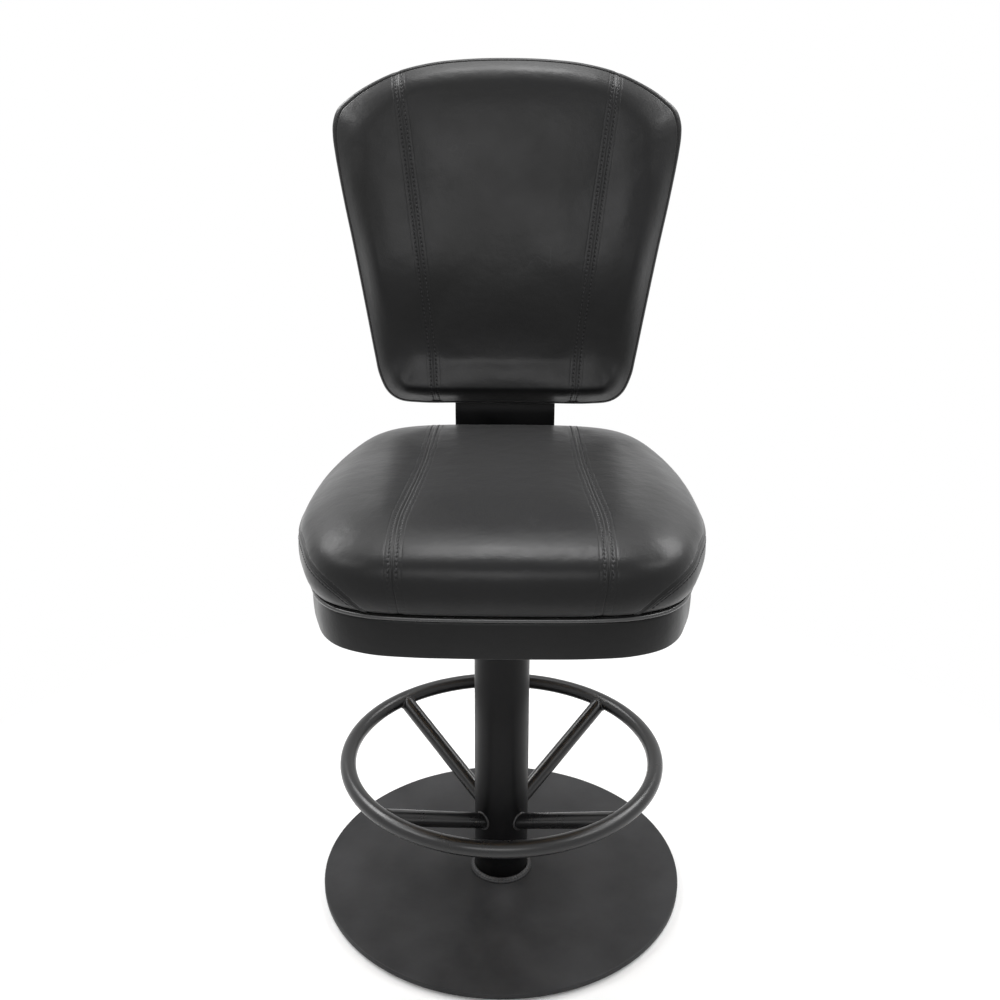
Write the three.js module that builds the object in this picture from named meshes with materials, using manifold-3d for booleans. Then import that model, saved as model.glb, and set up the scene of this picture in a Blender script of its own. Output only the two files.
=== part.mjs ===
// Casino stool: a round base plate, a column with a foot ring, a swivel seat and an upholstered back.
// Millimetres. +Z is up, the sitter faces -Y, and the origin is under the column, on the floor.
import * as THREE from "three";
import { mergeVertices } from "three/addons/utils/BufferGeometryUtils.js";
import Module from "manifold-3d";

const wasm = await Module();
wasm.setup();

// Clearances and cutters
const seatingGap = 0.3; // between faces that touch on the real stool
const runningGap = 0.5; // on the radius of a part that turns in another
const boltGap = 0.4; // on the radius of a bolt in its hole
const cutOverrun = 3; // how far a cutter runs past the face that it leaves

// Counts of facets
const columnSides = 40;
const turnedSides = 24;
const pitchSides = 32;
const boltSides = 12;
const hexSides = 6;
const ringSegments = 48;
const barSides = 10;
const plateSides = 60;
const outlineSteps = 40;
const pipingSides = 6;
const cornerSteps = 4;
const weldSteps = 3;

// Floor pad and base plate
const padDiameter = 496;
const padThickness = 3;
const plateDiameter = 515;
const plateThickness = 8;
const plateEdgeRadius = 1.5;

// Column
const columnDiameter = 76.1;
const columnWall = 3.2;
const columnWeldLeg = 6;

// Foot ring and its four spokes
const ringCentreRadius = 216;
const footBarDiameter = 22;
const ringHeight = 199;
const spokeFootHeight = 106;
const spokeCount = 4;
const firstSpokeAngle = Math.PI / 4;

// Swivel: housing, bushes, spindle and its nut
const housingLength = 95;
const housingFlangeThickness = 5;
const housingBoreDiameter = 40;
const bushLength = 25;
const spindleDiameter = 30;
const spindleThreadDiameter = 24;
const spindleEndLength = 3;
const retainingWasherDiameter = 50;
const retainingWasherThickness = 3;
const spindleNutAcross = 36;
const spindleNutHeight = 14;

// Thrust ball bearing
const raceOuterDiameter = 68;
const raceThickness = 4;
const ballDiameter = 8;
const ballPitchDiameter = 49;
const ballCount = 10;
const ballDetail = 1;
const grooveDepth = 1.2;
const grooveSteps = 4;
const cageThickness = 2.4;
const cageRim = 3;

// Swivel plate and the four bolts that hold the seat board to it
const swivelPlateSide = 200;
const swivelPlateThickness = 6;
const swivelPlateCorner = 15;
const seatBoltInset = 20;
const boltDiameter = 8;
const boltHeadAcross = 13;
const boltHeadHeight = 5.3;
const tNutFlangeDiameter = 22;
const tNutFlangeThickness = 1.6;
const tNutBarrelWall = 1.2;
const tNutBarrelLength = 10;

// Seat: board, cushion, piping and skirt. Reaches are measured from the column's axis.
const seatBoardHeight = 524.3;
const seatWidth = 506;
const seatFrontReach = 259;
const seatBackReach = 260;
const boardThickness = 15;
const boardMargin = 21;
const cushionHeight = 88;
const cushionRoll = 90;
const coverThickness = 2;
const pipingDiameter = 6;
const pipingInset = 13;
const skirtHeight = 48;
const skirtInset = 17;
const skirtWall = 14;
const backRollTightening = 0.7; // the cushion's rear edge is rolled this much tighter than its sides

// Back bracket: one bent flat bar from under the seat board up into the back
const bracketWidth = 150;
const bracketThickness = 8;
const bracketPlateGap = 15;
const bracketCushionGap = 4;
const bracketBendRadius = 18;
const bracketLeanRadius = 60;
const bracketRise = 107;
const bracketUpperLength = 300;
const bracketBendSteps = 8;
const bracketLeanSteps = 3;
const bracketBoltAcross = 100;
const bracketBoltStart = 25; // from the bracket's front end to the first pair of screws
const bracketBoltBendGap = 35; // from the second pair of screws to the bend
const bracketSlotGap = 1.5;

// Back: board, cushion and rear panel
const backLean = THREE.MathUtils.degToRad(9);
const backWidth = 497;
const backHeight = 486;
const backDrop = 8; // from the bracket's upper bend to the lower edge of the back
const backCoverThickness = 2;
const backSideDepth = 26;
const backCrown = 24;
const backRoll = 60;
const backMiddleForward = 12.5; // from the bracket's middle plane to the back's widest line
const backBoardThickness = 12;
const backBoardMargin = 22;
const rearPanelThickness = 4;
const rearPanelMargin = 4;
const lumbarDepth = 16;
const backBoltStart = 70;
const backBoltSpacing = 180;

// Outlines as shares of the half width and of the reach, from the rear or top middle to the front or
// bottom middle. The other half is its mirror.
const seatOutlineShares = [
  [0, 1], [0.34, 0.995], [0.55, 0.97], [0.73, 0.9], [0.85, 0.77], [0.925, 0.59],
  [0.966, 0.38], [0.99, 0.17], [1, -0.04], [1, -0.235], [0.978, -0.45],
  [0.933, -0.62], [0.872, -0.78], [0.785, -0.885], [0.63, -0.96], [0.42, -0.99], [0.21, -0.998], [0, -1],
];
const backOutlineShares = [
  [0, 1], [0.22, 0.997], [0.43, 0.986], [0.63, 0.961], [0.81, 0.919], [0.905, 0.887],
  [0.97, 0.857], [0.997, 0.82], [1, 0.785], [0.989, 0.735], [0.943, 0.6], [0.896, 0.48], [0.85, 0.355],
  [0.807, 0.235], [0.773, 0.14], [0.75, 0.085], [0.7, 0.033], [0.63, 0.008], [0.5, 0], [0.25, 0], [0, 0],
];
// Cushion sections: the inset from the widest line as a share of the roll, and the height as a share
const widestHeightShare = 0.36;
const seatSectionShares = [
  [0.117, 0], [0.078, 0.05], [0.022, 0.2], [0, widestHeightShare], [0.03, 0.565], [0.115, 0.725],
  [0.25, 0.84], [0.46, 0.915], [0.8, 0.955], [1.4, 0.98], [2.1, 0.995],
];
// The sides of the back: insets as shares of its roll, and depths as shares of the side depth
const frontEdgeShare = 0.067;
const backSideShares = [
  [0.05, -0.92], [0, 0], [0.02, 0.6], [frontEdgeShare, 1],
];
// The front of the back: insets as shares of its roll, and depths as shares of the crown
const backFrontShares = [
  [0.16, 0.33], [0.34, 0.6], [0.62, 0.83], [1, 0.95], [1.7, 1], [2.5, 1], [3.3, 1],
];
// Swell of the back's front along its height: share of the height, and share of the lumbar depth
const backSwellShares = [
  [0, 0], [0.09, 0.5], [0.185, 0.1], [0.38, 1], [0.65, 0.4], [0.9, 0.2], [1, 0],
];

// Levels
const plateBottom = padThickness + seatingGap;
const plateTop = plateBottom + plateThickness;
const columnBottom = plateTop + seatingGap;
const columnRadius = columnDiameter / 2;
const swivelPlateTop = seatBoardHeight - seatingGap;
const swivelPlateBottom = swivelPlateTop - swivelPlateThickness;
const upperRaceTop = swivelPlateBottom - seatingGap;
const upperRaceBottom = upperRaceTop - raceThickness;
const ballSeatRadius = ballDiameter / 2 + seatingGap;
const ballHeight = upperRaceBottom - ballSeatRadius + grooveDepth;
const lowerRaceTop = ballHeight - ballSeatRadius + grooveDepth;
const lowerRaceBottom = lowerRaceTop - raceThickness;
const housingTop = lowerRaceBottom - seatingGap;
const housingFlangeBottom = housingTop - housingFlangeThickness;
const housingBottom = housingTop - housingLength;
const columnTop = housingFlangeBottom - seatingGap;
const washerTop = housingBottom - seatingGap;
const washerBottom = washerTop - retainingWasherThickness;
const spindleNutTop = washerBottom - seatingGap;
const spindleNutBottom = spindleNutTop - spindleNutHeight;
const boardTop = seatBoardHeight + boardThickness;
const skirtTop = seatBoardHeight - seatingGap;
const skirtBottom = skirtTop - skirtHeight;
const pipingHeight = skirtTop + seatingGap + pipingDiameter / 2;
const cushionBottom = pipingHeight + pipingDiameter / 2 + seatingGap;

// Bracket and back places
const bracketLegTop = seatBoardHeight - seatingGap;
const bracketLegHeight = bracketLegTop - bracketThickness / 2;
const bracketStart = swivelPlateSide / 2 + bracketPlateGap;
const bracketUpright = seatBackReach + bracketCushionGap + bracketThickness / 2;
const bracketBendStart = bracketUpright - bracketBendRadius;

// Finishes
const powderCoat = { color: 0x1d1d1e, roughness: 0.5, metalness: 0.1 };
const brightSteel = { color: 0x9a9c9e, roughness: 0.3, metalness: 1 };
const zincSteel = { color: 0xb4b6b2, roughness: 0.35, metalness: 1 };
const nylon = { color: 0xd9d4c4, roughness: 0.5, metalness: 0 };
const blackRubber = { color: 0x141414, roughness: 0.85, metalness: 0 };
const plywood = { color: 0xc8a878, roughness: 0.75, metalness: 0 };
const foam = { color: 0xd8cfae, roughness: 0.95, metalness: 0 };
const blackLeather = { color: 0x2a2a2b, roughness: 0.45, metalness: 0 };

// A named mesh in its finish
function piece(name, geometry, finish) {
  const mesh = new THREE.Mesh(geometry, new THREE.MeshStandardMaterial(finish));
  mesh.name = name;
  return mesh;
}

// The geometry as a solid for cutting and joining
function solid(geometry) {
  const bare = new THREE.BufferGeometry();
  bare.setAttribute("position", geometry.getAttribute("position"));
  if (geometry.index) bare.setIndex(geometry.index);
  const merged = mergeVertices(bare);
  return new wasm.Manifold(
    new wasm.Mesh({
      numProp: 3,
      vertProperties: new Float32Array(merged.attributes.position.array),
      triVerts: new Uint32Array(merged.index.array),
    }),
  );
}

// A solid back as a geometry
function geometryOf(body) {
  const mesh = body.getMesh();
  const geometry = new THREE.BufferGeometry();
  geometry.setAttribute("position", new THREE.BufferAttribute(mesh.vertProperties, mesh.numProp));
  geometry.setIndex(new THREE.BufferAttribute(mesh.triVerts, 1));
  geometry.computeVertexNormals();
  return geometry;
}

function cut(body, cutters) {
  return geometryOf(cutters.reduce((left, cutter) => left.subtract(solid(cutter)), solid(body)));
}

function join(bodies) {
  return geometryOf(bodies.slice(1).reduce((whole, body) => whole.add(solid(body)), solid(bodies[0])));
}

// A body turned about the Z axis from a profile of [radius, height] points
function turned(profile, sides) {
  const points = profile.map(([radius, height]) => new THREE.Vector2(radius, height));
  return new THREE.LatheGeometry(points, sides).rotateX(Math.PI / 2);
}

// A round bar on the Z axis
function rod(diameter, bottom, top, sides) {
  return new THREE.CylinderGeometry(diameter / 2, diameter / 2, top - bottom, sides)
    .rotateX(Math.PI / 2)
    .translate(0, 0, (bottom + top) / 2);
}

// A washer or tube on the Z axis
function tube(outer, inner, bottom, top, sides) {
  return turned(
    [[inner / 2, bottom], [outer / 2, bottom], [outer / 2, top], [inner / 2, top], [inner / 2, bottom]],
    sides,
  );
}

// A box between two corners
function box(low, high) {
  const size = high.map((value, axis) => value - low[axis]);
  const middle = high.map((value, axis) => (value + low[axis]) / 2);
  return new THREE.BoxGeometry(...size).translate(...middle);
}

// A hexagon bolt whose head's underside is at height zero, with the shank upwards
function hexBolt(length) {
  const head = rod(boltHeadAcross / Math.cos(Math.PI / hexSides), -boltHeadHeight, 0, hexSides);
  const shank = rod(boltDiameter, -boltHeadHeight / 2, length, boltSides);
  return join([head, shank]);
}

// The cutter for a bolt hole on the Z axis, whose flats clear the bolt all round
function boltHole(bottom, top) {
  const across = (boltDiameter + 2 * boltGap) / Math.cos(Math.PI / boltSides);
  return rod(across, bottom - cutOverrun, top + cutOverrun, boltSides);
}

// A polygon that stands for a circle, and one whose flats clear a hole's diameter all round
function circlePath(PathClass, diameter, sides, x = 0, y = 0) {
  const points = Array.from({ length: sides }, (_, i) => {
    const angle = (2 * Math.PI * i) / sides;
    const radius = diameter / 2;
    return new THREE.Vector2(x + radius * Math.cos(angle), y + radius * Math.sin(angle));
  });
  return new PathClass(points);
}

function holePath(diameter, sides, x = 0, y = 0) {
  return circlePath(THREE.Path, diameter / Math.cos(Math.PI / sides), sides, x, y);
}

// The four places round the middle of a square pattern
function squarePlaces(half) {
  return [[half, half], [-half, half], [-half, -half], [half, -half]];
}

// A closed outline from half of its points, in anticlockwise order
function closedOutline(points, steps) {
  const right = points.map(([x, y]) => new THREE.Vector3(x, y, 0));
  const left = right.slice(1, -1).map((point) => new THREE.Vector3(-point.x, point.y, 0));
  const curve = new THREE.CatmullRomCurve3([...left.reverse(), ...right].reverse(), true, "centripetal");
  return curve.getPoints(steps).slice(0, steps);
}

function seatOutline() {
  const points = seatOutlineShares.map(([across, along]) => [
    (across * seatWidth) / 2,
    along * (along > 0 ? seatBackReach : seatFrontReach),
  ]);
  return closedOutline(points, outlineSteps);
}

function backOutline() {
  const points = backOutlineShares.map(([across, up]) => [(across * backWidth) / 2, up * backHeight]);
  return closedOutline(points, outlineSteps);
}

// The outline drawn in by an inset, towards a middle point
function drawnIn(outline, inset, middle, halfWidth, halfDepth) {
  return outline.map((point) => [
    point.x * (1 - inset / halfWidth),
    middle + (point.y - middle) * (1 - inset / halfDepth),
  ]);
}

// A closed body from rings of equal length, the first below and the last above
function ringedBody(rings) {
  const count = rings[0].length;
  const positions = rings.flat(2);
  const faces = [];
  const centres = [rings[0], rings[rings.length - 1]].map((ring) =>
    [0, 1, 2].map((axis) => ring.reduce((sum, point) => sum + point[axis], 0) / count),
  );
  positions.push(...centres.flat());
  const bottomCentre = rings.length * count;
  const topRing = (rings.length - 1) * count;
  for (let i = 0; i < count; i++) {
    const next = (i + 1) % count;
    for (let level = 0; level < topRing; level += count) {
      faces.push(level + i, level + next, level + count + next);
      faces.push(level + i, level + count + next, level + count + i);
    }
    faces.push(bottomCentre, next, i);
    faces.push(bottomCentre + 1, topRing + i, topRing + next);
  }
  const geometry = new THREE.BufferGeometry();
  geometry.setAttribute("position", new THREE.Float32BufferAttribute(positions, 3));
  geometry.setIndex(faces);
  geometry.computeVertexNormals();
  return geometry;
}

// A section of [inset, level] points moved inwards by a distance
function sectionInside(section, distance) {
  return section.map(([inset, level], i) => {
    const before = section[Math.max(i - 1, 0)];
    const after = section[Math.min(i + 1, section.length - 1)];
    const along = new THREE.Vector2(after[0] - before[0], after[1] - before[1]).normalize();
    return [inset + distance * along.y, level - distance * along.x];
  });
}

// A flat plate with the outline's shape
function outlinePlate(points, bottom, thickness) {
  const shape = new THREE.Shape(points.map(([x, y]) => new THREE.Vector2(x, y)));
  return new THREE.ExtrudeGeometry(shape, { depth: thickness, bevelEnabled: false })
    .translate(0, 0, bottom);
}

// Base plate, its pad and the column
function basePad() {
  return rod(padDiameter, 0, padThickness, plateSides);
}

function basePlate() {
  const radius = plateDiameter / 2;
  return turned(
    [
      [0, plateBottom],
      [radius - plateEdgeRadius, plateBottom],
      [radius, plateBottom + plateEdgeRadius],
      [radius, plateTop - plateEdgeRadius],
      [radius - plateEdgeRadius, plateTop],
      [0, plateTop],
    ],
    plateSides,
  );
}

function columnWeld() {
  const inner = columnRadius + seatingGap;
  const profile = [[inner, columnBottom]];
  for (let i = 0; i <= weldSteps; i++) {
    const angle = (Math.PI / 2) * (i / weldSteps);
    profile.push([inner + columnWeldLeg * Math.cos(angle), columnBottom + columnWeldLeg * Math.sin(angle)]);
  }
  profile.push([inner, columnBottom]);
  return turned(profile, columnSides);
}

function columnTube() {
  return tube(columnDiameter, columnDiameter - 2 * columnWall, columnBottom, columnTop, columnSides);
}

// Foot ring
function footRing() {
  return new THREE.TorusGeometry(ringCentreRadius, footBarDiameter / 2, barSides, ringSegments)
    .translate(0, 0, ringHeight);
}

// A spoke along +X, coped to the column and to the ring
function spoke() {
  const from = new THREE.Vector3(0, 0, spokeFootHeight);
  const slope = (ringHeight - spokeFootHeight) / (ringCentreRadius - columnRadius);
  from.z -= slope * columnRadius;
  const to = new THREE.Vector3(ringCentreRadius, 0, ringHeight);
  const along = to.clone().sub(from);
  const bar = new THREE.CylinderGeometry(
    footBarDiameter / 2, footBarDiameter / 2, along.length(), 2 * barSides,
  );
  const turn = new THREE.Quaternion().setFromUnitVectors(
    new THREE.Vector3(0, 1, 0),
    along.clone().normalize(),
  );
  bar.applyQuaternion(turn).translate(to.x / 2, 0, (from.z + to.z) / 2);
  const column = rod(columnDiameter + 2 * seatingGap, 0, columnTop, columnSides);
  const ring = new THREE.TorusGeometry(
    ringCentreRadius, footBarDiameter / 2 + seatingGap, barSides, ringSegments,
  ).translate(0, 0, ringHeight);
  const past = box(
    [ringCentreRadius, -footBarDiameter, ringHeight - footBarDiameter],
    [ringCentreRadius + footBarDiameter, footBarDiameter, ringHeight + footBarDiameter],
  );
  return cut(bar, [column, ring, past]);
}

// Swivel housing pressed into the top of the column
function bearingHousing() {
  const bore = housingBoreDiameter / 2;
  const shank = columnRadius - columnWall - seatingGap;
  return turned(
    [
      [bore, housingBottom],
      [shank, housingBottom],
      [shank, housingFlangeBottom],
      [columnRadius, housingFlangeBottom],
      [columnRadius, housingTop],
      [bore, housingTop],
      [bore, housingBottom],
    ],
    columnSides,
  );
}

function bush(bottom) {
  const outer = housingBoreDiameter - 2 * seatingGap;
  const inner = spindleDiameter + 2 * runningGap;
  return tube(outer, inner, bottom, bottom + bushLength, turnedSides);
}

// A race whose groove lies on its upper face, with that face at height zero
function race() {
  const inner = spindleDiameter / 2 + runningGap;
  const outer = raceOuterDiameter / 2;
  const pitch = ballPitchDiameter / 2;
  const centre = ballSeatRadius - grooveDepth;
  const halfAngle = Math.acos(centre / ballSeatRadius);
  const profile = [[inner, -raceThickness], [outer, -raceThickness], [outer, 0]];
  for (let i = 0; i <= grooveSteps; i++) {
    const angle = halfAngle - (2 * halfAngle * i) / grooveSteps;
    profile.push([
      pitch + ballSeatRadius * Math.sin(angle),
      centre - ballSeatRadius * Math.cos(angle),
    ]);
  }
  profile.push([inner, 0], [inner, -raceThickness]);
  return turned(profile, pitchSides);
}

function ballCage() {
  const pitch = ballPitchDiameter / 2;
  const holeDiameter = 2 * ballSeatRadius;
  const rim = holeDiameter + 2 * cageRim;
  const shape = circlePath(THREE.Shape, ballPitchDiameter + rim, turnedSides);
  shape.holes.push(holePath(ballPitchDiameter - rim, turnedSides));
  for (let i = 0; i < ballCount; i++) {
    const angle = (2 * Math.PI * i) / ballCount;
    shape.holes.push(holePath(holeDiameter, boltSides, pitch * Math.cos(angle), pitch * Math.sin(angle)));
  }
  return new THREE.ExtrudeGeometry(shape, { depth: cageThickness, bevelEnabled: false })
    .translate(0, 0, ballHeight - cageThickness / 2);
}

function spindle() {
  const thread = spindleThreadDiameter / 2;
  const shaft = spindleDiameter / 2;
  return turned(
    [
      [0, spindleNutBottom - spindleEndLength],
      [thread, spindleNutBottom - spindleEndLength],
      [thread, housingBottom],
      [shaft, housingBottom],
      [shaft, swivelPlateTop],
      [0, swivelPlateTop],
    ],
    turnedSides,
  );
}

function spindleNut() {
  const across = spindleNutAcross / Math.cos(Math.PI / hexSides);
  const hole = rod(
    spindleThreadDiameter + 2 * seatingGap,
    spindleNutBottom - cutOverrun,
    spindleNutTop + cutOverrun,
    turnedSides,
  );
  return cut(rod(across, spindleNutBottom, spindleNutTop, hexSides), [hole]);
}

// Swivel plate: square with round corners, a hole for the spindle and four for the bolts
function swivelPlate() {
  const half = swivelPlateSide / 2;
  const bend = half - swivelPlateCorner;
  const shape = new THREE.Shape();
  shape.absarc(bend, bend, swivelPlateCorner, 0, Math.PI / 2);
  shape.absarc(-bend, bend, swivelPlateCorner, Math.PI / 2, Math.PI);
  shape.absarc(-bend, -bend, swivelPlateCorner, Math.PI, 1.5 * Math.PI);
  shape.absarc(bend, -bend, swivelPlateCorner, 1.5 * Math.PI, 2 * Math.PI);
  shape.holes.push(holePath(spindleDiameter + 2 * seatingGap, turnedSides));
  for (const [x, y] of squarePlaces(half - seatBoltInset)) {
    shape.holes.push(holePath(boltDiameter + 2 * boltGap, boltSides, x, y));
  }
  return new THREE.ExtrudeGeometry(shape, {
    depth: swivelPlateThickness,
    bevelEnabled: false,
    curveSegments: cornerSteps,
  }).translate(0, 0, swivelPlateBottom);
}

function tNut() {
  const inner = boltDiameter / 2 + boltGap;
  const barrel = inner + tNutBarrelWall;
  const top = boardTop;
  const flangeBottom = top - tNutFlangeThickness;
  const bottom = top - tNutBarrelLength;
  return turned(
    [
      [inner, bottom],
      [barrel, bottom],
      [barrel, flangeBottom],
      [tNutFlangeDiameter / 2, flangeBottom],
      [tNutFlangeDiameter / 2, top],
      [inner, top],
      [inner, bottom],
    ],
    boltSides,
  );
}

// The cutter for a T-nut: its barrel through the board and its flange into the upper face
function tNutCutter() {
  const facets = Math.cos(Math.PI / boltSides);
  const barrel = (boltDiameter + 2 * (boltGap + tNutBarrelWall + seatingGap)) / facets;
  const flange = (tNutFlangeDiameter + 2 * seatingGap) / facets;
  const flangeBottom = boardTop - tNutFlangeThickness - seatingGap;
  return join([
    rod(barrel, seatBoardHeight - cutOverrun, boardTop + cutOverrun, boltSides),
    rod(flange, flangeBottom, boardTop + cutOverrun, boltSides),
  ]);
}

// The seat outline drawn in, tighter towards the rear by the given share
function seatRing(outline, inset, level, tightening) {
  const share = THREE.MathUtils.smoothstep;
  return outline.map((point) => {
    const rear = share(point.y, seatBackReach / 2, seatBackReach);
    const here = inset * (1 - tightening * rear);
    const reach = point.y > 0 ? seatBackReach : seatFrontReach;
    return [point.x * (1 - here / (seatWidth / 2)), point.y * (1 - here / reach), level];
  });
}

function seatSection() {
  return seatSectionShares.map(([inset, height]) => [
    inset * cushionRoll,
    cushionBottom + height * cushionHeight,
  ]);
}

function seatCushionBody(inside, lowered) {
  const outline = seatOutline();
  const section = sectionInside(seatSection(), inside);
  const widest = cushionBottom + widestHeightShare * cushionHeight;
  const rings = section.map(([inset, level]) =>
    seatRing(outline, inset, level, level > widest ? backRollTightening : 0),
  );
  if (lowered) rings.unshift(seatRing(outline, section[0][0], section[0][1] - lowered, 0));
  return ringedBody(rings);
}

function seatCover() {
  return cut(seatCushionBody(0, 0), [seatCushionBody(coverThickness, cutOverrun)]);
}

function seatFoam() {
  const body = seatCushionBody(coverThickness + seatingGap, 0);
  const foamBottom = boardTop + seatingGap;
  const below = box(
    [-seatWidth, -seatWidth, seatBoardHeight - cushionHeight],
    [seatWidth, seatWidth, foamBottom],
  );
  return cut(body, [below]);
}

function seatBoard() {
  const ring = seatRing(seatOutline(), boardMargin, 0, 0);
  const blank = outlinePlate(ring, seatBoardHeight, boardThickness);
  const nutCutters = squarePlaces(swivelPlateSide / 2 - seatBoltInset).map(([x, y]) =>
    tNutCutter().translate(x, y, 0),
  );
  const screwCutters = bracketScrewPlaces().map(([x, y]) =>
    boltHole(seatBoardHeight, boardTop).translate(x, y, 0),
  );
  return cut(blank, [...nutCutters, ...screwCutters]);
}

// A closed tube round the seat
function seatPiping() {
  const path = seatRing(seatOutline(), pipingInset, pipingHeight, 0);
  const rings = path.map((point, i) => {
    const before = new THREE.Vector3(...path[(i + path.length - 1) % path.length]);
    const after = new THREE.Vector3(...path[(i + 1) % path.length]);
    const outward = after.sub(before).normalize().cross(new THREE.Vector3(0, 0, 1));
    return Array.from({ length: pipingSides }, (_, side) => {
      const angle = (2 * Math.PI * side) / pipingSides;
      const out = (pipingDiameter / 2) * Math.cos(angle);
      const up = (pipingDiameter / 2) * Math.sin(angle);
      return [point[0] + outward.x * out, point[1] + outward.y * out, point[2] + up];
    });
  });
  return closedLoop(rings);
}

// A ring-shaped body from sections that follow one another round a loop
function closedLoop(sections) {
  const count = sections[0].length;
  const faces = [];
  sections.forEach((_, i) => {
    const here = i * count;
    const ahead = ((i + 1) % sections.length) * count;
    for (let side = 0; side < count; side++) {
      const next = (side + 1) % count;
      faces.push(here + side, ahead + side, ahead + next);
      faces.push(here + side, ahead + next, here + next);
    }
  });
  const geometry = new THREE.BufferGeometry();
  geometry.setAttribute("position", new THREE.Float32BufferAttribute(sections.flat(2), 3));
  geometry.setIndex(faces);
  geometry.computeVertexNormals();
  return geometry;
}

function seatSkirt() {
  const outline = seatOutline();
  const outer = outlinePlate(seatRing(outline, skirtInset, 0, 0), skirtBottom, skirtHeight);
  const inner = outlinePlate(
    seatRing(outline, skirtInset + skirtWall, 0, 0),
    skirtBottom - cutOverrun,
    skirtHeight + 2 * cutOverrun,
  );
  const notch = box(
    [-bracketWidth / 2 - bracketSlotGap, 0, bracketLegTop - bracketThickness - bracketSlotGap],
    [bracketWidth / 2 + bracketSlotGap, seatBackReach, skirtTop + cutOverrun],
  );
  return cut(outer, [inner, notch]);
}

// The bracket's centre line in the YZ plane, as places with the direction that the bar runs in
function bracketLine() {
  const places = [{ y: bracketStart, z: bracketLegHeight, angle: 0 }];
  const bend = (steps, radius, turn) => {
    const last = places[places.length - 1];
    const centre = { y: last.y - radius * Math.sin(last.angle), z: last.z + radius * Math.cos(last.angle) };
    for (let i = 1; i <= steps; i++) {
      const angle = last.angle + (turn * i) / steps;
      places.push({
        y: centre.y + radius * Math.sin(angle),
        z: centre.z - radius * Math.cos(angle),
        angle,
      });
    }
  };
  const run = (length) => {
    const last = places[places.length - 1];
    const y = last.y + length * Math.cos(last.angle);
    const z = last.z + length * Math.sin(last.angle);
    places.push({ y, z, angle: last.angle });
  };
  run(bracketBendStart - bracketStart);
  bend(bracketBendSteps, bracketBendRadius, Math.PI / 2);
  run(bracketRise - bracketBendRadius);
  bend(bracketLeanSteps, -bracketLeanRadius, -backLean);
  run(bracketUpperLength);
  return places;
}

// Where the back's lower edge is: on the bracket, past its upper bend
function backPlace() {
  const line = bracketLine();
  const bendEnd = line[line.length - 2];
  return {
    y: bendEnd.y + backDrop * Math.cos(bendEnd.angle),
    z: bendEnd.z + backDrop * Math.sin(bendEnd.angle),
  };
}

function bracketScrewPlaces() {
  const rows = [bracketStart + bracketBoltStart, bracketBendStart - bracketBoltBendGap];
  return rows.flatMap((y) => [[-bracketBoltAcross / 2, y], [bracketBoltAcross / 2, y]]);
}

function backBoltPlaces() {
  const rows = [backBoltStart, backBoltStart + backBoltSpacing];
  return rows.flatMap((up) => [[-bracketBoltAcross / 2, up], [bracketBoltAcross / 2, up]]);
}

// The turn that lays the back's own frame, with its front up, on its lean behind the seat
function standBack(object) {
  const place = backPlace();
  object.position.set(0, place.y, place.z);
  object.rotation.x = Math.PI / 2 - backLean;
  return object;
}

function backBracket() {
  const half = bracketThickness / 2;
  const line = bracketLine();
  const side = (offset) =>
    line.map(({ y, z, angle }) => {
      const across = offset * Math.sin(angle);
      return new THREE.Vector2(y - across, z + offset * Math.cos(angle));
    });
  const shape = new THREE.Shape([...side(-half), ...side(half).reverse()]);
  const bar = new THREE.ExtrudeGeometry(shape, { depth: bracketWidth, bevelEnabled: false })
    .translate(0, 0, -bracketWidth / 2)
    .applyMatrix4(
      new THREE.Matrix4().makeBasis(
        new THREE.Vector3(0, 1, 0),
        new THREE.Vector3(0, 0, 1),
        new THREE.Vector3(1, 0, 0),
      ),
    );
  const legHoles = bracketScrewPlaces().map(([x, y]) =>
    boltHole(bracketLegTop - bracketThickness, bracketLegTop).translate(x, y, 0),
  );
  const frame = standBack(new THREE.Object3D());
  frame.updateMatrix();
  const upperHoles = backBoltPlaces().map(([x, up]) =>
    boltHole(-half, half).translate(x, up, 0).applyMatrix4(frame.matrix),
  );
  return cut(bar, [...legHoles, ...upperHoles]);
}

// How far the back's front swells at a share of its height
function backSwell(share) {
  const i = backSwellShares.findIndex(([end]) => share <= end);
  if (i <= 0) return 0;
  const [startShare, startDepth] = backSwellShares[i - 1];
  const [endShare, endDepth] = backSwellShares[i];
  const t = THREE.MathUtils.smoothstep(share, startShare, endShare);
  return lumbarDepth * (startDepth + (endDepth - startDepth) * t);
}

function backSection() {
  const sides = backSideShares.map(([inset, depth]) => [inset * backRoll, depth * backSideDepth]);
  const front = backFrontShares.map(([inset, depth]) => [
    inset * backRoll,
    backSideDepth + depth * backCrown,
  ]);
  return [...sides, ...front];
}

// The back lies on its rear here: X across, Y up the back and Z towards the sitter
function backBody(inside, lowered) {
  const outline = backOutline();
  const section = sectionInside(backSection(), inside);
  const ring = ([inset, level], swells) =>
    drawnIn(outline, inset, backHeight / 2, backWidth / 2, backHeight / 2).map(([x, y]) => {
      const swell = swells * backSwell(y / backHeight);
      return [x, y, backMiddleForward + level + swell];
    });
  const rings = section.map((point) => {
    const swells = THREE.MathUtils.smoothstep(point[0], backRoll * frontEdgeShare, backRoll);
    return ring(point, point[1] > 0 ? swells : 0);
  });
  if (lowered) rings.unshift(ring([section[0][0], section[0][1] - lowered], 0));
  return ringedBody(rings);
}

function backCover() {
  const half = bracketThickness / 2;
  const slot = box(
    [-bracketWidth / 2 - bracketSlotGap, -backHeight / 2, -half - bracketSlotGap],
    [bracketWidth / 2 + bracketSlotGap, backHeight / 2, half + bracketSlotGap],
  );
  return cut(backBody(0, 0), [backBody(backCoverThickness, cutOverrun), slot]);
}

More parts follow.
